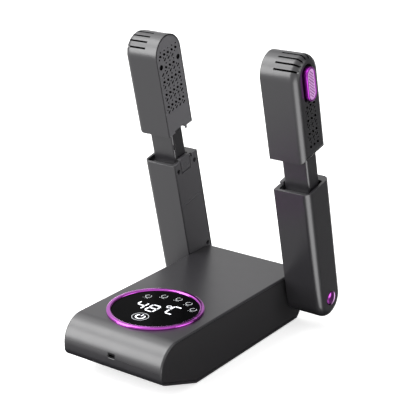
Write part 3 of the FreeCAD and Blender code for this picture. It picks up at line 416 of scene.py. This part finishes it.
def moulded_rubber():
    """Soft rubber moulded in a dull tool: nearly black, with a dusty bloom that has no shine."""
    material, tree, shader = new_material("soft_moulded_rubber", Roughness=0.85, Specular_IOR_Level=0.35)
    bloom = add_node(tree, "ShaderNodeTexNoise", inputs={
        "Vector": add_node(tree, "ShaderNodeTexCoord").outputs["Object"], "Scale": 1.0 / (2.0 * MM)})
    tone = add_node(tree, "ShaderNodeMix", {"data_type": "RGBA"}, {
        "Factor": bloom.outputs["Fac"], "A": linear("#141414"), "B": linear("#232322")})
    tree.links.new(tone.outputs["Result"], shader.inputs["Base Color"])
    return material


def black_oxide():
    """Hardened steel blackened in a hot salt bath: a thin dark film that is faintly mottled."""
    material, tree, shader = new_material("black_oxide_steel", Metallic=1.0)
    mottle = add_node(tree, "ShaderNodeTexNoise", inputs={
        "Vector": add_node(tree, "ShaderNodeTexCoord").outputs["Object"], "Scale": 1.0 / (0.8 * MM)})
    tone = add_node(tree, "ShaderNodeMix", {"data_type": "RGBA"}, {
        "Factor": mottle.outputs["Fac"], "A": linear("#202024"), "B": linear("#3c3a3c")})
    sheen = add_node(tree, "ShaderNodeMapRange", inputs={
        "Value": mottle.outputs["Fac"], "To Min": 0.3, "To Max": 0.5})
    tree.links.new(tone.outputs["Result"], shader.inputs["Base Color"])
    tree.links.new(sheen.outputs["Result"], shader.inputs["Roughness"])
    return material


screw_black = black_oxide()
foot_rubber = moulded_rubber()
UPRIGHT = Matrix.Identity(4)

foot_boxes = solids_of("rubber_feet", UPRIGHT)
foot_low, foot_high = foot_boxes[0]
foot_radius = (foot_high.x - foot_low.x) / 2.0 / MM
foot_height = foot_high.z / MM
foot_profile = [(0.0, foot_height), (foot_radius, foot_height), (foot_radius, FOOT_EDGE),
                (foot_radius - FOOT_ROUND, FOOT_ROUND), (foot_radius - FOOT_EDGE, 0.0)]
for groove in GROOVE_RADII:
    foot_profile += [(groove + GROOVE_TOP, 0.0), (groove + GROOVE_FLOOR, GROOVE_DEPTH),
                     (groove - GROOVE_FLOOR, GROOVE_DEPTH), (groove - GROOVE_TOP, 0.0)]
foot_profile.append((0.0, 0.0))
foot_places = [((low.x + high.x) / 2.0, (low.y + high.y) / 2.0, 0.0) for low, high in foot_boxes]
feet = placed_copies(eased(turned(foot_profile), 0.05), foot_places, foot_rubber, UPRIGHT)
fit_piece("ringed_feet", feet, foot_rubber, "base", ["rubber_feet"])


def screw_mesh(head_radius, head_height, shank_radius, length):
    """A pan-head screw with a cross recess. Its head bears at z = 0 and its shank points up."""
    round_off = head_height * HEAD_CROWN
    core = shank_radius * THREAD_CORE
    profile = [(0.0, -head_height), (head_radius * HEAD_FLAT, -head_height),
               (head_radius - 0.1, -head_height + round_off), (head_radius, -round_off), (head_radius, 0.0),
               (core, 0.0)]
    for i in range(int(length / THREAD_PITCH)):
        foot = THREAD_PITCH / 2.0 + i * THREAD_PITCH
        profile += [(core, foot), (shank_radius, foot + 0.35), (core, foot + 0.7)]
    profile += [(shank_radius * 0.5, length), (0.0, length)]
    body = put_in_scene(bpy.data.objects.new("screw", turned(profile)))
    blade_size = (head_radius * CROSS_REACH * 2.0 * MM, CROSS_WIDTH * MM, head_height * 1.1 * MM, 1.0)
    for turn in (0.0, math.pi / 2.0):
        blade = bmesh.new()
        bmesh.ops.create_cube(blade, size=1.0,
                              matrix=Matrix.Rotation(turn, 4, "Z") @ Matrix.Diagonal(blade_size))
        bmesh.ops.translate(blade, verts=blade.verts, vec=(0, 0, -head_height * MM))
        cutter = put_in_scene(bpy.data.objects.new("blade", finished(blade, "blade")))
        recess = body.modifiers.new("recess", "BOOLEAN")
        recess.object = cutter
        recess.operation = "DIFFERENCE"
        cut = applied(body)
        bpy.data.objects.remove(cutter)
        body = put_in_scene(bpy.data.objects.new("screw", cut))
    return eased(applied(body), 0.06)


def cover_screws(name, node, body, place, head_radius, shank_radius, head_height):
    """Screws set along a local Z, where a CAD node has its plain ones."""
    boxes = solids_of(node, place.inverted())
    low, high = boxes[0]
    length = (high.z - low.z) / MM - head_height
    points = [((a.x + b.x) / 2.0, (a.y + b.y) / 2.0, a.z + head_height * MM) for a, b in boxes]
    mesh = screw_mesh(head_radius, head_height, shank_radius, length)
    fit_piece(name, placed_copies(mesh, points, screw_black, place), screw_black, body, [node])


cover_screws("tray_screws", "base_cover_screws", "base", UPRIGHT, *TRAY_SCREW)


# ------------------------------------------------------------------ display
# A disc of smoked acrylic that lies in a seat in the skin, inside a raised ring of polished magenta
# aluminium. White digits and fine printed signs shine through it: 48 degrees, five programmes and a power
# key. The signs are fine plates that start just under the disc's face.
window_low, window_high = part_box("display_window")
DISPLAY = Vector(((window_low.x + window_high.x) / 2.0, (window_low.y + window_high.y) / 2.0, window_high.z))
SIGN_DEPTH = 0.04
SIGN_RISE = 0.05
DIGIT_SIZE = (10.0, 15.0)
DIGIT_STROKE, SEGMENT_GAP = 1.5, 0.3      # millimetres, and a share of the stroke
DIGIT_PLACES = {"4": (-20.8, -8.4), "8": (-7.4, -8.4)}
UNIT_SIZE = (9.4, 17.4)
UNIT_PLACE = (11.0, -2.8)
DEGREE_PLACE = (7.9, 10.2)
LIT_SEGMENTS = {"4": "bcfg", "8": "abcdefg", "C": "adef"}
ARC_STEP = 9.0                 # degrees
DEGREE_RING = (2.2, 0.75)      # radius and width
POWER_RING, POWER_ARC = (4.1, 1.3), (130.0, 410.0)
POWER_BAR = ((0.0, 1.0), (0.0, 5.4), 1.1)
KEY_RING = (7.6, 0.45)
PROGRAMME_RING, PROGRAMME_ARC = (2.9, 0.4), (100.0, 420.0)
PROGRAMME_BARS = (((-1.2, -4.4), (2.6, -4.4), 0.3), ((-3.2, -4.4), (-2.0, -4.4), 0.3))
PROGRAMME_PLACES = ((-22.3, 18.3), (-9.8, 26.5), (4.9, 29.1), (18.2, 26.3), (29.2, 17.8))
POWER_PLACE = (-0.6, -21.4)


def anodised(name, colour, roughness):
    """Aluminium polished, then anodised: a deep even magenta that mirrors the room, under a clear seal.
    A faint haze, with patches of 0.6 mm, keeps the mirror from being perfect."""
    material, tree, shader = new_material(name, Metallic=1.0, Base_Color=linear(colour), Roughness=roughness,
                                          Coat_Weight=0.5, Coat_Roughness=0.06)
    place = add_node(tree, "ShaderNodeTexCoord").outputs["Object"]
    haze = add_node(tree, "ShaderNodeTexNoise", inputs={"Vector": place, "Scale": 1.0 / (0.6 * MM)})
    relief = add_node(tree, "ShaderNodeBump", inputs={
        "Height": haze.outputs["Fac"], "Strength": 0.05, "Distance": 0.01 * MM})
    tree.links.new(relief.outputs["Normal"], shader.inputs["Normal"])
    return material


def smoked_acrylic():
    """Cast acrylic, smoked nearly black, with a faint film. Its gloss is set far below a real sheet's, so
    that it stays black."""
    material, tree, shader = new_material("smoked_acrylic", IOR=1.49, Specular_IOR_Level=0.008)
    film = add_node(tree, "ShaderNodeTexNoise", inputs={
        "Vector": add_node(tree, "ShaderNodeTexCoord").outputs["Object"], "Scale": 1.0 / (9.0 * MM),
        "Detail": 5.0})
    sheen = add_node(tree, "ShaderNodeMapRange", inputs={
        "Value": film.outputs["Fac"], "To Min": 0.12, "To Max": 0.2})
    tone = add_node(tree, "ShaderNodeMix", {"data_type": "RGBA"}, {
        "Factor": film.outputs["Fac"], "A": linear("#060607"), "B": linear("#0b0b0c")})
    tree.links.new(tone.outputs["Result"], shader.inputs["Base Color"])
    tree.links.new(sheen.outputs["Result"], shader.inputs["Roughness"])
    return material


def lit_sign(name, colour, strength):
    """White light through a diffusing print: nearly even, and a little whiter in patches of 4 mm."""
    material, tree, shader = new_material(name, Base_Color=linear(colour), Roughness=0.5,
                                          Emission_Strength=strength)
    glow = add_node(tree, "ShaderNodeTexNoise", inputs={
        "Vector": add_node(tree, "ShaderNodeTexCoord").outputs["Object"], "Scale": 1.0 / (4.0 * MM)})
    tone = add_node(tree, "ShaderNodeMix", {"data_type": "RGBA"}, {
        "Factor": glow.outputs["Fac"], "A": linear(colour), "B": linear("#ffffff")})
    tree.links.new(tone.outputs["Result"], shader.inputs["Emission Color"])
    return material


def add_plate(shape, outline, place):
    """Adds a thin closed plate with that outline in millimetres, proud of the window."""
    rows = []
    for z in (-SIGN_DEPTH, SIGN_RISE):
        rows.append([shape.verts.new(DISPLAY + Vector((x + place[0], y + place[1], z)) * MM)
                     for x, y in outline])
    low, high = rows
    shape.faces.new(high)
    shape.faces.new(list(reversed(low)))
    for i in range(len(outline)):
        j = (i + 1) % len(outline)
        shape.faces.new((low[i], low[j], high[j], high[i]))


def add_arc(shape, radius, width, start, end, place):
    """Adds a thin band that follows a circle between two angles in degrees, as short plates."""
    steps = max(6, int(abs(end - start) / ARC_STEP))
    turns = [math.radians(start + (end - start) * i / steps) for i in range(steps + 1)]
    inner, outer = radius - width / 2.0, radius + width / 2.0
    for a, b in zip(turns, turns[1:]):
        corners = ((inner, a), (outer, a), (outer, b), (inner, b))
        add_plate(shape, [(r * math.cos(turn), r * math.sin(turn)) for r, turn in corners], place)


def add_bar(shape, start, end, width, place):
    """Adds one straight segment with pointed ends."""
    way = (Vector(end) - Vector(start)).normalized() * (width / 2.0)
    left = Vector((-way.y, way.x))
    a, b = Vector(start), Vector(end)
    add_plate(shape, [a, a + way - left, b - way - left, b, b - way + left, a + way + left], place)


def add_character(shape, character, size, stroke, place):
    """Adds the lit segments of one seven-segment character."""
    w, h = size[0] - stroke, size[1] - stroke
    gap = stroke * SEGMENT_GAP
    ends = {"a": ((0, h), (w, h)), "b": ((w, h), (w, h / 2)), "c": ((w, h / 2), (w, 0)),
            "d": ((0, 0), (w, 0)), "e": ((0, h / 2), (0, 0)), "f": ((0, h), (0, h / 2)),
            "g": ((0, h / 2), (w, h / 2))}
    for segment in LIT_SEGMENTS[character]:
        start, end = (Vector(p) for p in ends[segment])
        inset = (end - start).normalized() * gap
        add_bar(shape, start + inset, end - inset, stroke, (place[0] + stroke / 2, place[1] + stroke / 2))


ring_metal = anodised("polished_magenta_anodising", "#c450cc", 0.11)
window_acrylic = smoked_acrylic()
digit_light = lit_sign("white_digit_light", "#f4f6ff", 1.0)
sign_light = lit_sign("dim_sign_light", "#c8ccd0", 0.5)

fit_piece("display_ring", moulded("display_bezel", 0.08), ring_metal, "base",
          ["display_bezel"])
fit_piece("display_disc", moulded("display_window", 0.3), window_acrylic, "base",
          ["display_window"])

digits = bmesh.new()
for character, place in DIGIT_PLACES.items():
    add_character(digits, character, DIGIT_SIZE, DIGIT_STROKE, place)
add_character(digits, "C", UNIT_SIZE, DIGIT_STROKE, UNIT_PLACE)
add_arc(digits, *DEGREE_RING, 0.0, 360.0, DEGREE_PLACE)
fit_piece("temperature_digits", finished(digits, "digits"), digit_light, "base")

power = bmesh.new()
add_arc(power, *POWER_RING, *POWER_ARC, POWER_PLACE)
add_bar(power, *POWER_BAR, POWER_PLACE)
fit_piece("power_sign", finished(power, "power"), digit_light, "base")

signs = bmesh.new()
add_arc(signs, *KEY_RING, 0.0, 360.0, POWER_PLACE)
for middle in PROGRAMME_PLACES:
    add_arc(signs, *PROGRAMME_RING, *PROGRAMME_ARC, middle)
    for bar in PROGRAMME_BARS:
        add_bar(signs, *bar, middle)
fit_piece("programme_signs", finished(signs, "signs"), sign_light, "base")


# ------------------------------------------------------------------ arms
# Each arm is a square satin housing that turns on a hollow shaft at the base's rear corner. A flat inner
# cover with sunk screws closes it, and a domed magenta cap hides the shaft's end. The press tab at the top
# of the cover frees the head when it is lowered.
COVER_COLOUR = "#4a494c"
cover_abs = satin_abs("fine_grey_abs", COVER_COLOUR, 0.45, 0.6)
joints = {joint["name"]: joint for joint in frame["joints"]}


def arm_place(side):
    """From an arm's own frame, X outwards, Y its depth and Z up along it, to the object's."""
    pivot = joints["arm_fold_" + side]["pos_m"]
    along = joints["head_slide_" + side]["axis"]
    lean = math.atan2(-along[1], along[2])
    mirror = Matrix.Diagonal((-1.0 if side == "left" else 1.0, 1.0, 1.0, 1.0))
    return Matrix.Translation((0.0, pivot[1], pivot[2])) @ Matrix.Rotation(lean, 4, "X") @ mirror


# Turns a frame whose Z points out of a flank into the arm's own: X is the depth, Y the height.
OUT_OF_FLANK = Matrix(((0, 0, 1, 0), (1, 0, 0, 0), (0, 1, 0, 0), (0, 0, 0, 1)))

for side in ("left", "right"):
    arm, catch = "arm_" + side, "catch_" + side
    fit_piece("arm_housing_" + side, moulded("housing_shell_" + side, 0.25), shell_abs, arm,
              ["housing_shell_" + side])
    fit_piece("arm_cover_" + side, moulded("housing_cover_" + side, 0.15), cover_abs, arm,
              ["housing_cover_" + side])
    fit_piece("press_tab_" + side, moulded("catch_tab_" + side, 0.15), cover_abs, catch,
              ["catch_tab_" + side])
    fit_piece("shaft_cap_" + side, moulded("pivot_cap_" + side, 0.1), ring_metal, arm,
              ["pivot_cap_" + side])
    fit_piece("neck_collar_" + side, moulded("neck_guide_" + side, 0.15), shell_abs, arm,
              ["neck_guide_" + side])
    cover_screws("arm_screws_" + side, "housing_screws_" + side, arm, arm_place(side) @ OUT_OF_FLANK,
                 *SMALL_SCREW)


# ------------------------------------------------------------------ heads
# The neck slides out of the arm and carries a round-topped head: a satin housing with slots over its top, and
# a flat inner cover pierced all over, which the warm air leaves through. Two sunk screws hold the cover. Open
# black foam behind the slots and holes keeps dust out, and its black is also painted shade for the dark
# inside of the head. The walls deep in the holes, the slots and the dish round the lamp get painted shade
# too.
GRILLE_COLOUR = "#626164"
COVER_THICKNESS = 2.2
HEAD_WALL = 2.0
HEAD_ROUND = 7.0
SLOT_START = 69.5
GRILLE_FOOT = 173.0
FOAM_THICKNESS, FOAM_GAP = 0.6, 0.25
ARCH_LOW, ARCH_TURN = 11.4, 75.0           # the arch's inner radius, and degrees each way from the top
ARCH_STEPS, ARCH_START = 24, 3.0           # its facets, and how far over the inner cover it starts
CORNER_TURNS = (0, 30, 60, 90)
FLANK_GRILLE = (12.5, -12.0, -22.5)        # half its width, its foot from GRILLE_FOOT, its top from the round
WALL_LEAN = 0.5                            # a wall's normal hardly points out of the flank
COVER_MARGIN, SLOT_REACH, DISH_MARGIN = 2.4, 6.0, 0.5
DISH_DEPTHS = (1.0, 0.1)
# One half of the sheet behind the inner cover: it steps in round the boss of a cover screw.
SHEET_HALF = ((14.3, GRILLE_FOOT), (14.3, 222.6), (9.4, 222.6), (9.4, 231.4), (13.2, 231.4))
SHEET_TOP, SHEET_CHAMFER = 11.0, 5.0
SHEET_SHOULDER, SHEET_CROWN = 13.2, 8.0    # half its width where the chamfer starts and where it ends
FLANK_SHEET = (12.0, -10.0, -25.0)         # the sheet behind the flank's grille, measured like FLANK_GRILLE
grille_abs = satin_abs("light_grey_abs", GRILLE_COLOUR, 0.42, 0.6)
# Near black with almost no gloss: painted shade for the walls deep in holes and slots and for the dish round
# the lamp.
painted_shade_abs = satin_abs("painted_shade_hole_walls", "#060607", 0.8, 0.05)


def filter_foam_and_painted_shade():
    """Black open-cell polyether foam, with cells of about 0.8 mm that look like dark pits. Set right behind
    the holes, its near-black is also painted shade for the dark inside of the head.
    """
    material, tree, shader = new_material("black_filter_foam_painted_shade", Roughness=1.0, Specular_IOR_Level=0.05)
    cells = add_node(tree, "ShaderNodeTexVoronoi", inputs={
        "Vector": add_node(tree, "ShaderNodeTexCoord").outputs["Object"], "Scale": 1.0 / (0.8 * MM)})
    tone = add_node(tree, "ShaderNodeMix", {"data_type": "RGBA"}, {
        "Factor": cells.outputs["Distance"], "A": linear("#020202"), "B": linear("#0d0d0e")})
    tree.links.new(tone.outputs["Result"], shader.inputs["Base Color"])
    return material


def paint_shade_in_holes(piece, place, is_hidden):
    """Paints the faces that lie deep in holes, slots and dishes nearly black: painted shade, as hardly any
    light gets in.
    """
    piece.data.materials.append(painted_shade_abs)
    to_local = place.inverted()
    turn = to_local.to_3x3()
    for face in piece.data.polygons:
        if is_hidden(to_local @ face.center / MM, turn @ face.normal):
            face.material_index = 1


def in_cover_hole(middle, normal):
    """A wall of one of the inner cover's holes or screw cups, well inside the cover's outline."""
    from_axis = math.hypot(middle.x, max(0.0, middle.y - head_centre))
    return abs(normal.z) < WALL_LEAN and middle.y > GRILLE_FOOT and from_axis < head_radius - COVER_MARGIN


def in_shell_hole(middle, normal):
    """A wall of a hole in the outer flank or of a slot over the top, or the dish round the lamp."""
    up = middle.y - head_centre
    around = math.hypot(middle.x, up)
    half_width, foot, top = FLANK_GRILLE
    if abs(middle.x) < half_width and GRILLE_FOOT + foot < middle.y < head_centre + top:
        return abs(normal.z) < WALL_LEAN and middle.z > flank - HEAD_WALL - 0.1
    along_round = abs(normal.x * up - normal.y * middle.x) / max(around, 0.1)
    if along_round > 0.8 and up > 0.0 and around > head_radius - SLOT_REACH and middle.z > SLOT_START:
        return True
    deep, shallow = DISH_DEPTHS
    from_axis = math.hypot(middle.x, max(0.0, up))
    return flank - deep < middle.z < flank - shallow and from_axis < head_radius - HEAD_ROUND + DISH_MARGIN


def foam_sheet(shape, outline, z):
    """Adds a flat sheet of foam with that outline, between two heights out of the flank."""
    rows = [[shape.verts.new(Vector((x, y, level)) * MM) for x, y in outline] for level in z]
    shape.faces.new(rows[0])
    shape.faces.new(rows[1])
    for i in range(len(outline)):
        j = (i + 1) % len(outline)
        shape.faces.new((rows[0][i], rows[0][j], rows[1][j], rows[1][i]))


def foam_arch(shape, profile, half_angle, steps):
    """Adds an arch of foam: a closed profile of (radius, height) points swept over the round top."""
    rows = []
    for i in range(steps + 1):
        turn = math.radians(-half_angle + 2.0 * half_angle * i / steps)
        rows.append([shape.verts.new(Vector((r * math.sin(turn), head_centre + r * math.cos(turn), z)) * MM)
                     for r, z in profile])
    for near, far in zip(rows, rows[1:]):
        for i in range(len(profile)):
            j = (i + 1) % len(profile)
            shape.faces.new((near[i], near[j], far[j], far[i]))
    shape.faces.new(rows[0])
    shape.faces.new(rows[-1])


def rounded_corner(z, r, radius, angles):
    """Points of (radius, height) round the corner where the hollow's top turns into its outer wall."""
    return [(r + radius * math.sin(math.radians(t)), z + radius * math.cos(math.radians(t))) for t in angles]


foam = filter_foam_and_painted_shade()

for side in ("left", "right"):
    head = "head_" + side
    place = arm_place(side) @ OUT_OF_FLANK
    (cover_low, _), = solids_of("head_cover_" + side, place.inverted())
    (shell_low, shell_high), = solids_of("head_shell_" + side, place.inverted())
    head_radius = (shell_high.x - shell_low.x) / 2.0 / MM
    head_centre = shell_high.y / MM - head_radius
    flank = shell_high.z / MM
    cover_back = cover_low.z / MM + COVER_THICKNESS
    fit_piece("sliding_neck_" + side, moulded("neck_tube_" + side, 0.2), shell_abs, head,
              ["neck_tube_" + side])
    cover_screws("grille_screws_" + side, "head_screws_" + side, head, place, *SMALL_SCREW)
    housing = fit_piece("head_housing_" + side, moulded("head_shell_" + side, 0.2), shell_abs, head,
                        ["head_shell_" + side])
    # The walls deep in the flank's holes, the slots over the top and the dish round the lamp get painted
    # shade.
    paint_shade_in_holes(housing, place, in_shell_hole)
    grille = fit_piece("head_grille_" + side, moulded("head_cover_" + side, 0.12), grille_abs, head,
                       ["head_cover_" + side])
    paint_shade_in_holes(grille, place, in_cover_hole)

    # The foam sits right behind the slots and holes. Besides keeping dust out, its black is painted shade for
    # the dark inside of the head.
    outer = head_radius - HEAD_WALL - FOAM_GAP
    corner_z, corner_r = flank - HEAD_ROUND, head_radius - HEAD_ROUND
    wide = HEAD_ROUND - HEAD_WALL - FOAM_GAP
    profile = [(outer, cover_back + ARCH_START)]
    profile += rounded_corner(corner_z, corner_r, wide, CORNER_TURNS[::-1])
    profile += [(ARCH_LOW, corner_z + wide), (ARCH_LOW, corner_z + wide - FOAM_THICKNESS)]
    profile += rounded_corner(corner_z, corner_r, wide - FOAM_THICKNESS, CORNER_TURNS)
    profile.append((outer - FOAM_THICKNESS, cover_back + ARCH_START))
    pieces = bmesh.new()
    foam_arch(pieces, profile, ARCH_TURN, ARCH_STEPS)
    high = head_centre + SHEET_TOP
    half = list(SHEET_HALF) + [(SHEET_SHOULDER, high - SHEET_CHAMFER), (SHEET_CROWN, high)]
    foam_sheet(pieces, half + [(-x, y) for x, y in reversed(half)],
               (cover_back + FOAM_GAP, cover_back + FOAM_GAP + FOAM_THICKNESS))
    half_width, foot, top = FLANK_SHEET
    half = [(half_width, GRILLE_FOOT + foot), (half_width, head_centre + top)]
    foam_sheet(pieces, half + [(-x, y) for x, y in reversed(half)],
               (flank - HEAD_WALL - FOAM_GAP - FOAM_THICKNESS, flank - HEAD_WALL - FOAM_GAP))
    fit_piece("dust_foam_" + side, carried(finished(pieces, "foam"), place), foam, head)


# ------------------------------------------------------------------ lamp
# An oval lamp stands out of each head's flank: a magenta collar whose side wall is ribbed like a coin's
# edge, round a glowing pink polycarbonate lens with a fine diamond grid moulded in its face. The real grid
# is finer. It is drawn coarser here, or its knobs would blur into one tone.
LENS_RIM = 2.0
COLLAR_FLANGE = 1.5
GRID_PITCH = 1.9
GRID_KNOB, KNOB_SQUASH = 0.66, 0.45
RIB_PITCH = 0.95
RIB_RADIUS = 0.28
RIB_RISE, RIB_MIDDLE = 3.6, 1.0      # a rib's length, and its middle's height over the flank


def pink_polycarbonate():
    """Polycarbonate dyed pink and lit from behind: nearly even, and a little stronger in patches of 8 mm."""
    material, tree, shader = new_material("pink_polycarbonate", Base_Color=linear("#c393c8"), IOR=1.58,
                                          Roughness=0.35, Emission_Strength=0.24)
    glow = add_node(tree, "ShaderNodeTexNoise", inputs={
        "Vector": add_node(tree, "ShaderNodeTexCoord").outputs["Object"], "Scale": 1.0 / (8.0 * MM)})
    tone = add_node(tree, "ShaderNodeMix", {"data_type": "RGBA"}, {
        "Factor": glow.outputs["Fac"], "A": linear("#b868c0"), "B": linear("#e6b4ea")})
    tree.links.new(tone.outputs["Result"], shader.inputs["Emission Color"])
    return material


lens_pink = pink_polycarbonate()
# The knobs are dark magenta metallic lacquer, which looks like anodising with a rougher face.
knob_magenta = anodised("magenta_grid_lacquer", "#58205f", 0.45)
collar_magenta = anodised("magenta_collar_anodising", "#a826b4", 0.3)

grid, given, results = new_tree("lens_grid", Width="Float", Length="Float", Pitch="Float", Knob="Float",
                                Material="Material")
count = add_node(grid, "ShaderNodeMath", {"operation": "DIVIDE"}, {0: given["Length"], 1: given["Pitch"]})
field = add_node(grid, "GeometryNodeMeshGrid", inputs={
    "Size X": given["Length"], "Size Y": given["Length"],
    "Vertices X": count.outputs["Value"], "Vertices Y": count.outputs["Value"]})
turned_field = add_node(grid, "GeometryNodeTransform", inputs={
    "Geometry": field.outputs["Mesh"], "Rotation": (0.0, 0.0, math.pi / 4.0)})
spot = add_node(grid, "ShaderNodeSeparateXYZ", inputs={
    "Vector": add_node(grid, "GeometryNodeInputPosition").outputs["Position"]})
half_width = add_node(grid, "ShaderNodeMath", {"operation": "MULTIPLY"}, {0: given["Width"], 1: 0.5})
half_length = add_node(grid, "ShaderNodeMath", {"operation": "MULTIPLY"}, {0: given["Length"], 1: 0.5})
straight = add_node(grid, "ShaderNodeMath", {"operation": "SUBTRACT"},
                    {0: half_length.outputs["Value"], 1: half_width.outputs["Value"]})
away_y = add_node(grid, "ShaderNodeMath", {"operation": "ABSOLUTE"}, {0: spot.outputs["Y"]})
past_straight = add_node(grid, "ShaderNodeMath", {"operation": "SUBTRACT"},
                         {0: away_y.outputs["Value"], 1: straight.outputs["Value"]})
over_end = add_node(grid, "ShaderNodeMath", {"operation": "MAXIMUM"},
                    {0: past_straight.outputs["Value"], 1: 0.0})
off_line = add_node(grid, "ShaderNodeCombineXYZ", inputs={
    "X": spot.outputs["X"], "Y": over_end.outputs["Value"]})
from_middle = add_node(grid, "ShaderNodeVectorMath", {"operation": "LENGTH"}, {0: off_line.outputs["Vector"]})
inside = add_node(grid, "FunctionNodeCompare", {"operation": "LESS_THAN"},
                  {0: from_middle.outputs["Value"], 1: half_width.outputs["Value"]})
knob = add_node(grid, "GeometryNodeMeshIcoSphere", inputs={"Radius": given["Knob"], "Subdivisions": 2})
knobs = add_node(grid, "GeometryNodeInstanceOnPoints", inputs={
    "Points": turned_field.outputs["Geometry"], "Selection": inside.outputs["Result"],
    "Instance": knob.outputs["Mesh"], "Scale": (1.0, 1.0, KNOB_SQUASH)})
close_tree(grid, given, results, knobs.outputs["Instances"])

ribbing, given, results = new_tree("collar_ribs", Width="Float", Length="Float", Pitch="Float", Rib="Float",
                                   Rise="Float", Material="Material")
outline = add_node(ribbing, "GeometryNodeCurvePrimitiveQuadrilateral", inputs={
    "Width": given["Width"], "Height": given["Length"]})
# The ends' radius stays a hair under half the width, so that the outline keeps its straight sides.
end_radius = add_node(ribbing, "ShaderNodeMath", {"operation": "MULTIPLY"}, {0: given["Width"], 1: 0.4999})
oval = add_node(ribbing, "GeometryNodeFilletCurve", inputs={
    "Curve": outline.outputs["Curve"], "Radius": end_radius.outputs["Value"]})
rib_points = add_node(ribbing, "GeometryNodeCurveToPoints", {"mode": "LENGTH"}, {
    "Curve": oval.outputs["Curve"], "Length": given["Pitch"]})
rib = add_node(ribbing, "GeometryNodeMeshCylinder", inputs={
    "Vertices": 8, "Radius": given["Rib"], "Depth": given["Rise"]})
ribs = add_node(ribbing, "GeometryNodeInstanceOnPoints", inputs={
    "Points": rib_points.outputs["Points"], "Instance": rib.outputs["Mesh"]})
close_tree(ribbing, given, results, ribs.outputs["Instances"])

for side in ("left", "right"):
    head = "head_" + side
    place = arm_place(side) @ OUT_OF_FLANK
    (lens_low, lens_high), = solids_of("lamp_lens_" + side, place.inverted())
    (collar_low, collar_high), = solids_of("lamp_bezel_" + side, place.inverted())
    (_, shell_high), = solids_of("head_shell_" + side, place.inverted())
    middle = (lens_low + lens_high) / 2.0
    field_size = lens_high - lens_low - Vector((2.0, 2.0, 0.0)) * LENS_RIM * MM
    oval_size = collar_high - collar_low - Vector((2.0, 2.0, 0.0)) * COLLAR_FLANGE * MM
    fit_piece("lamp_collar_" + side, moulded("lamp_bezel_" + side, 0.1), collar_magenta, head,
              ["lamp_bezel_" + side])
    fit_piece("lamp_lens_face_" + side, moulded("lamp_lens_" + side, 0.25), lens_pink, head,
              ["lamp_lens_" + side])
    knob_mesh = grown(grid, [(0, 0, 0)], Width=field_size.x, Length=field_size.y, Pitch=GRID_PITCH * MM,
                      Knob=GRID_KNOB * MM, Material=knob_magenta)
    knob_mesh.transform(Matrix.Translation((middle.x, middle.y, lens_high.z)))
    fit_piece("lamp_grid_" + side, carried(knob_mesh, place), knob_magenta, head)
    rib_mesh = grown(ribbing, [(0, 0, 0)], Width=oval_size.x, Length=oval_size.y, Pitch=RIB_PITCH * MM,
                     Rib=RIB_RADIUS * MM, Rise=RIB_RISE * MM, Material=collar_magenta)
    rib_mesh.transform(Matrix.Translation((middle.x, middle.y, shell_high.z + RIB_MIDDLE * MM)))
    fit_piece("lamp_collar_ribs_" + side, carried(rib_mesh, place), collar_magenta, head)


# ------------------------------------------------------------------ workings
# What the casing hides: boards and their components, the light boxes, brackets and shafts, the collars that
# guide the necks, and a fan, a heater and a safety switch in each head. They keep the CAD shapes.
def grained(name, dark, light, grain, roughness, **values):
    """A plain working finish whose tone wanders between two colours at a real grain size in millimetres."""
    material, tree, shader = new_material(name, Roughness=roughness, **values)
    noise = add_node(tree, "ShaderNodeTexNoise", inputs={
        "Vector": add_node(tree, "ShaderNodeTexCoord").outputs["Object"], "Scale": 1.0 / (grain * MM),
        "Detail": 4.0})
    tone = add_node(tree, "ShaderNodeMix", {"data_type": "RGBA"}, {
        "Factor": noise.outputs["Fac"], "A": linear(dark), "B": linear(light)})
    relief = add_node(tree, "ShaderNodeBump", inputs={
        "Height": noise.outputs["Fac"], "Strength": 0.15, "Distance": 0.03 * MM})
    tree.links.new(tone.outputs["Result"], shader.inputs["Base Color"])
    tree.links.new(relief.outputs["Normal"], shader.inputs["Normal"])
    return material


WORKING_FINISHES = {
    "steel": grained("zinc_plated_steel", "#8d9093", "#b4b6b8", 1.2, 0.32, Metallic=1.0),
    "black_screw": screw_black,
    "circuit_green": grained("solder_masked_board", "#0c3a1e", "#145030", 2.5, 0.3),
    "component_dark": grained("moulded_epoxy_cases", "#141416", "#26262a", 0.4, 0.45),
    "light_box": grained("white_diffusing_plastic", "#d8d8d2", "#efefea", 1.0, 0.5),
    "black_nylon": grained("glass_filled_nylon", "#0e0e10", "#1b1b1e", 0.6, 0.55),
    "heater_fins": grained("rolled_aluminium_fin", "#a4a6a8", "#c4c6c8", 0.8, 0.35, Metallic=1.0),
    "inlet_black": grained("inlet_nylon", "#0b0b0c", "#161618", 0.5, 0.45),
}
for node in frame["nodes"].values():
    if not node.hide_render:
        for surface in node.material_slots:
            surface.material = WORKING_FINISHES[surface.material.name.split(".")[0]]

low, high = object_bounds()
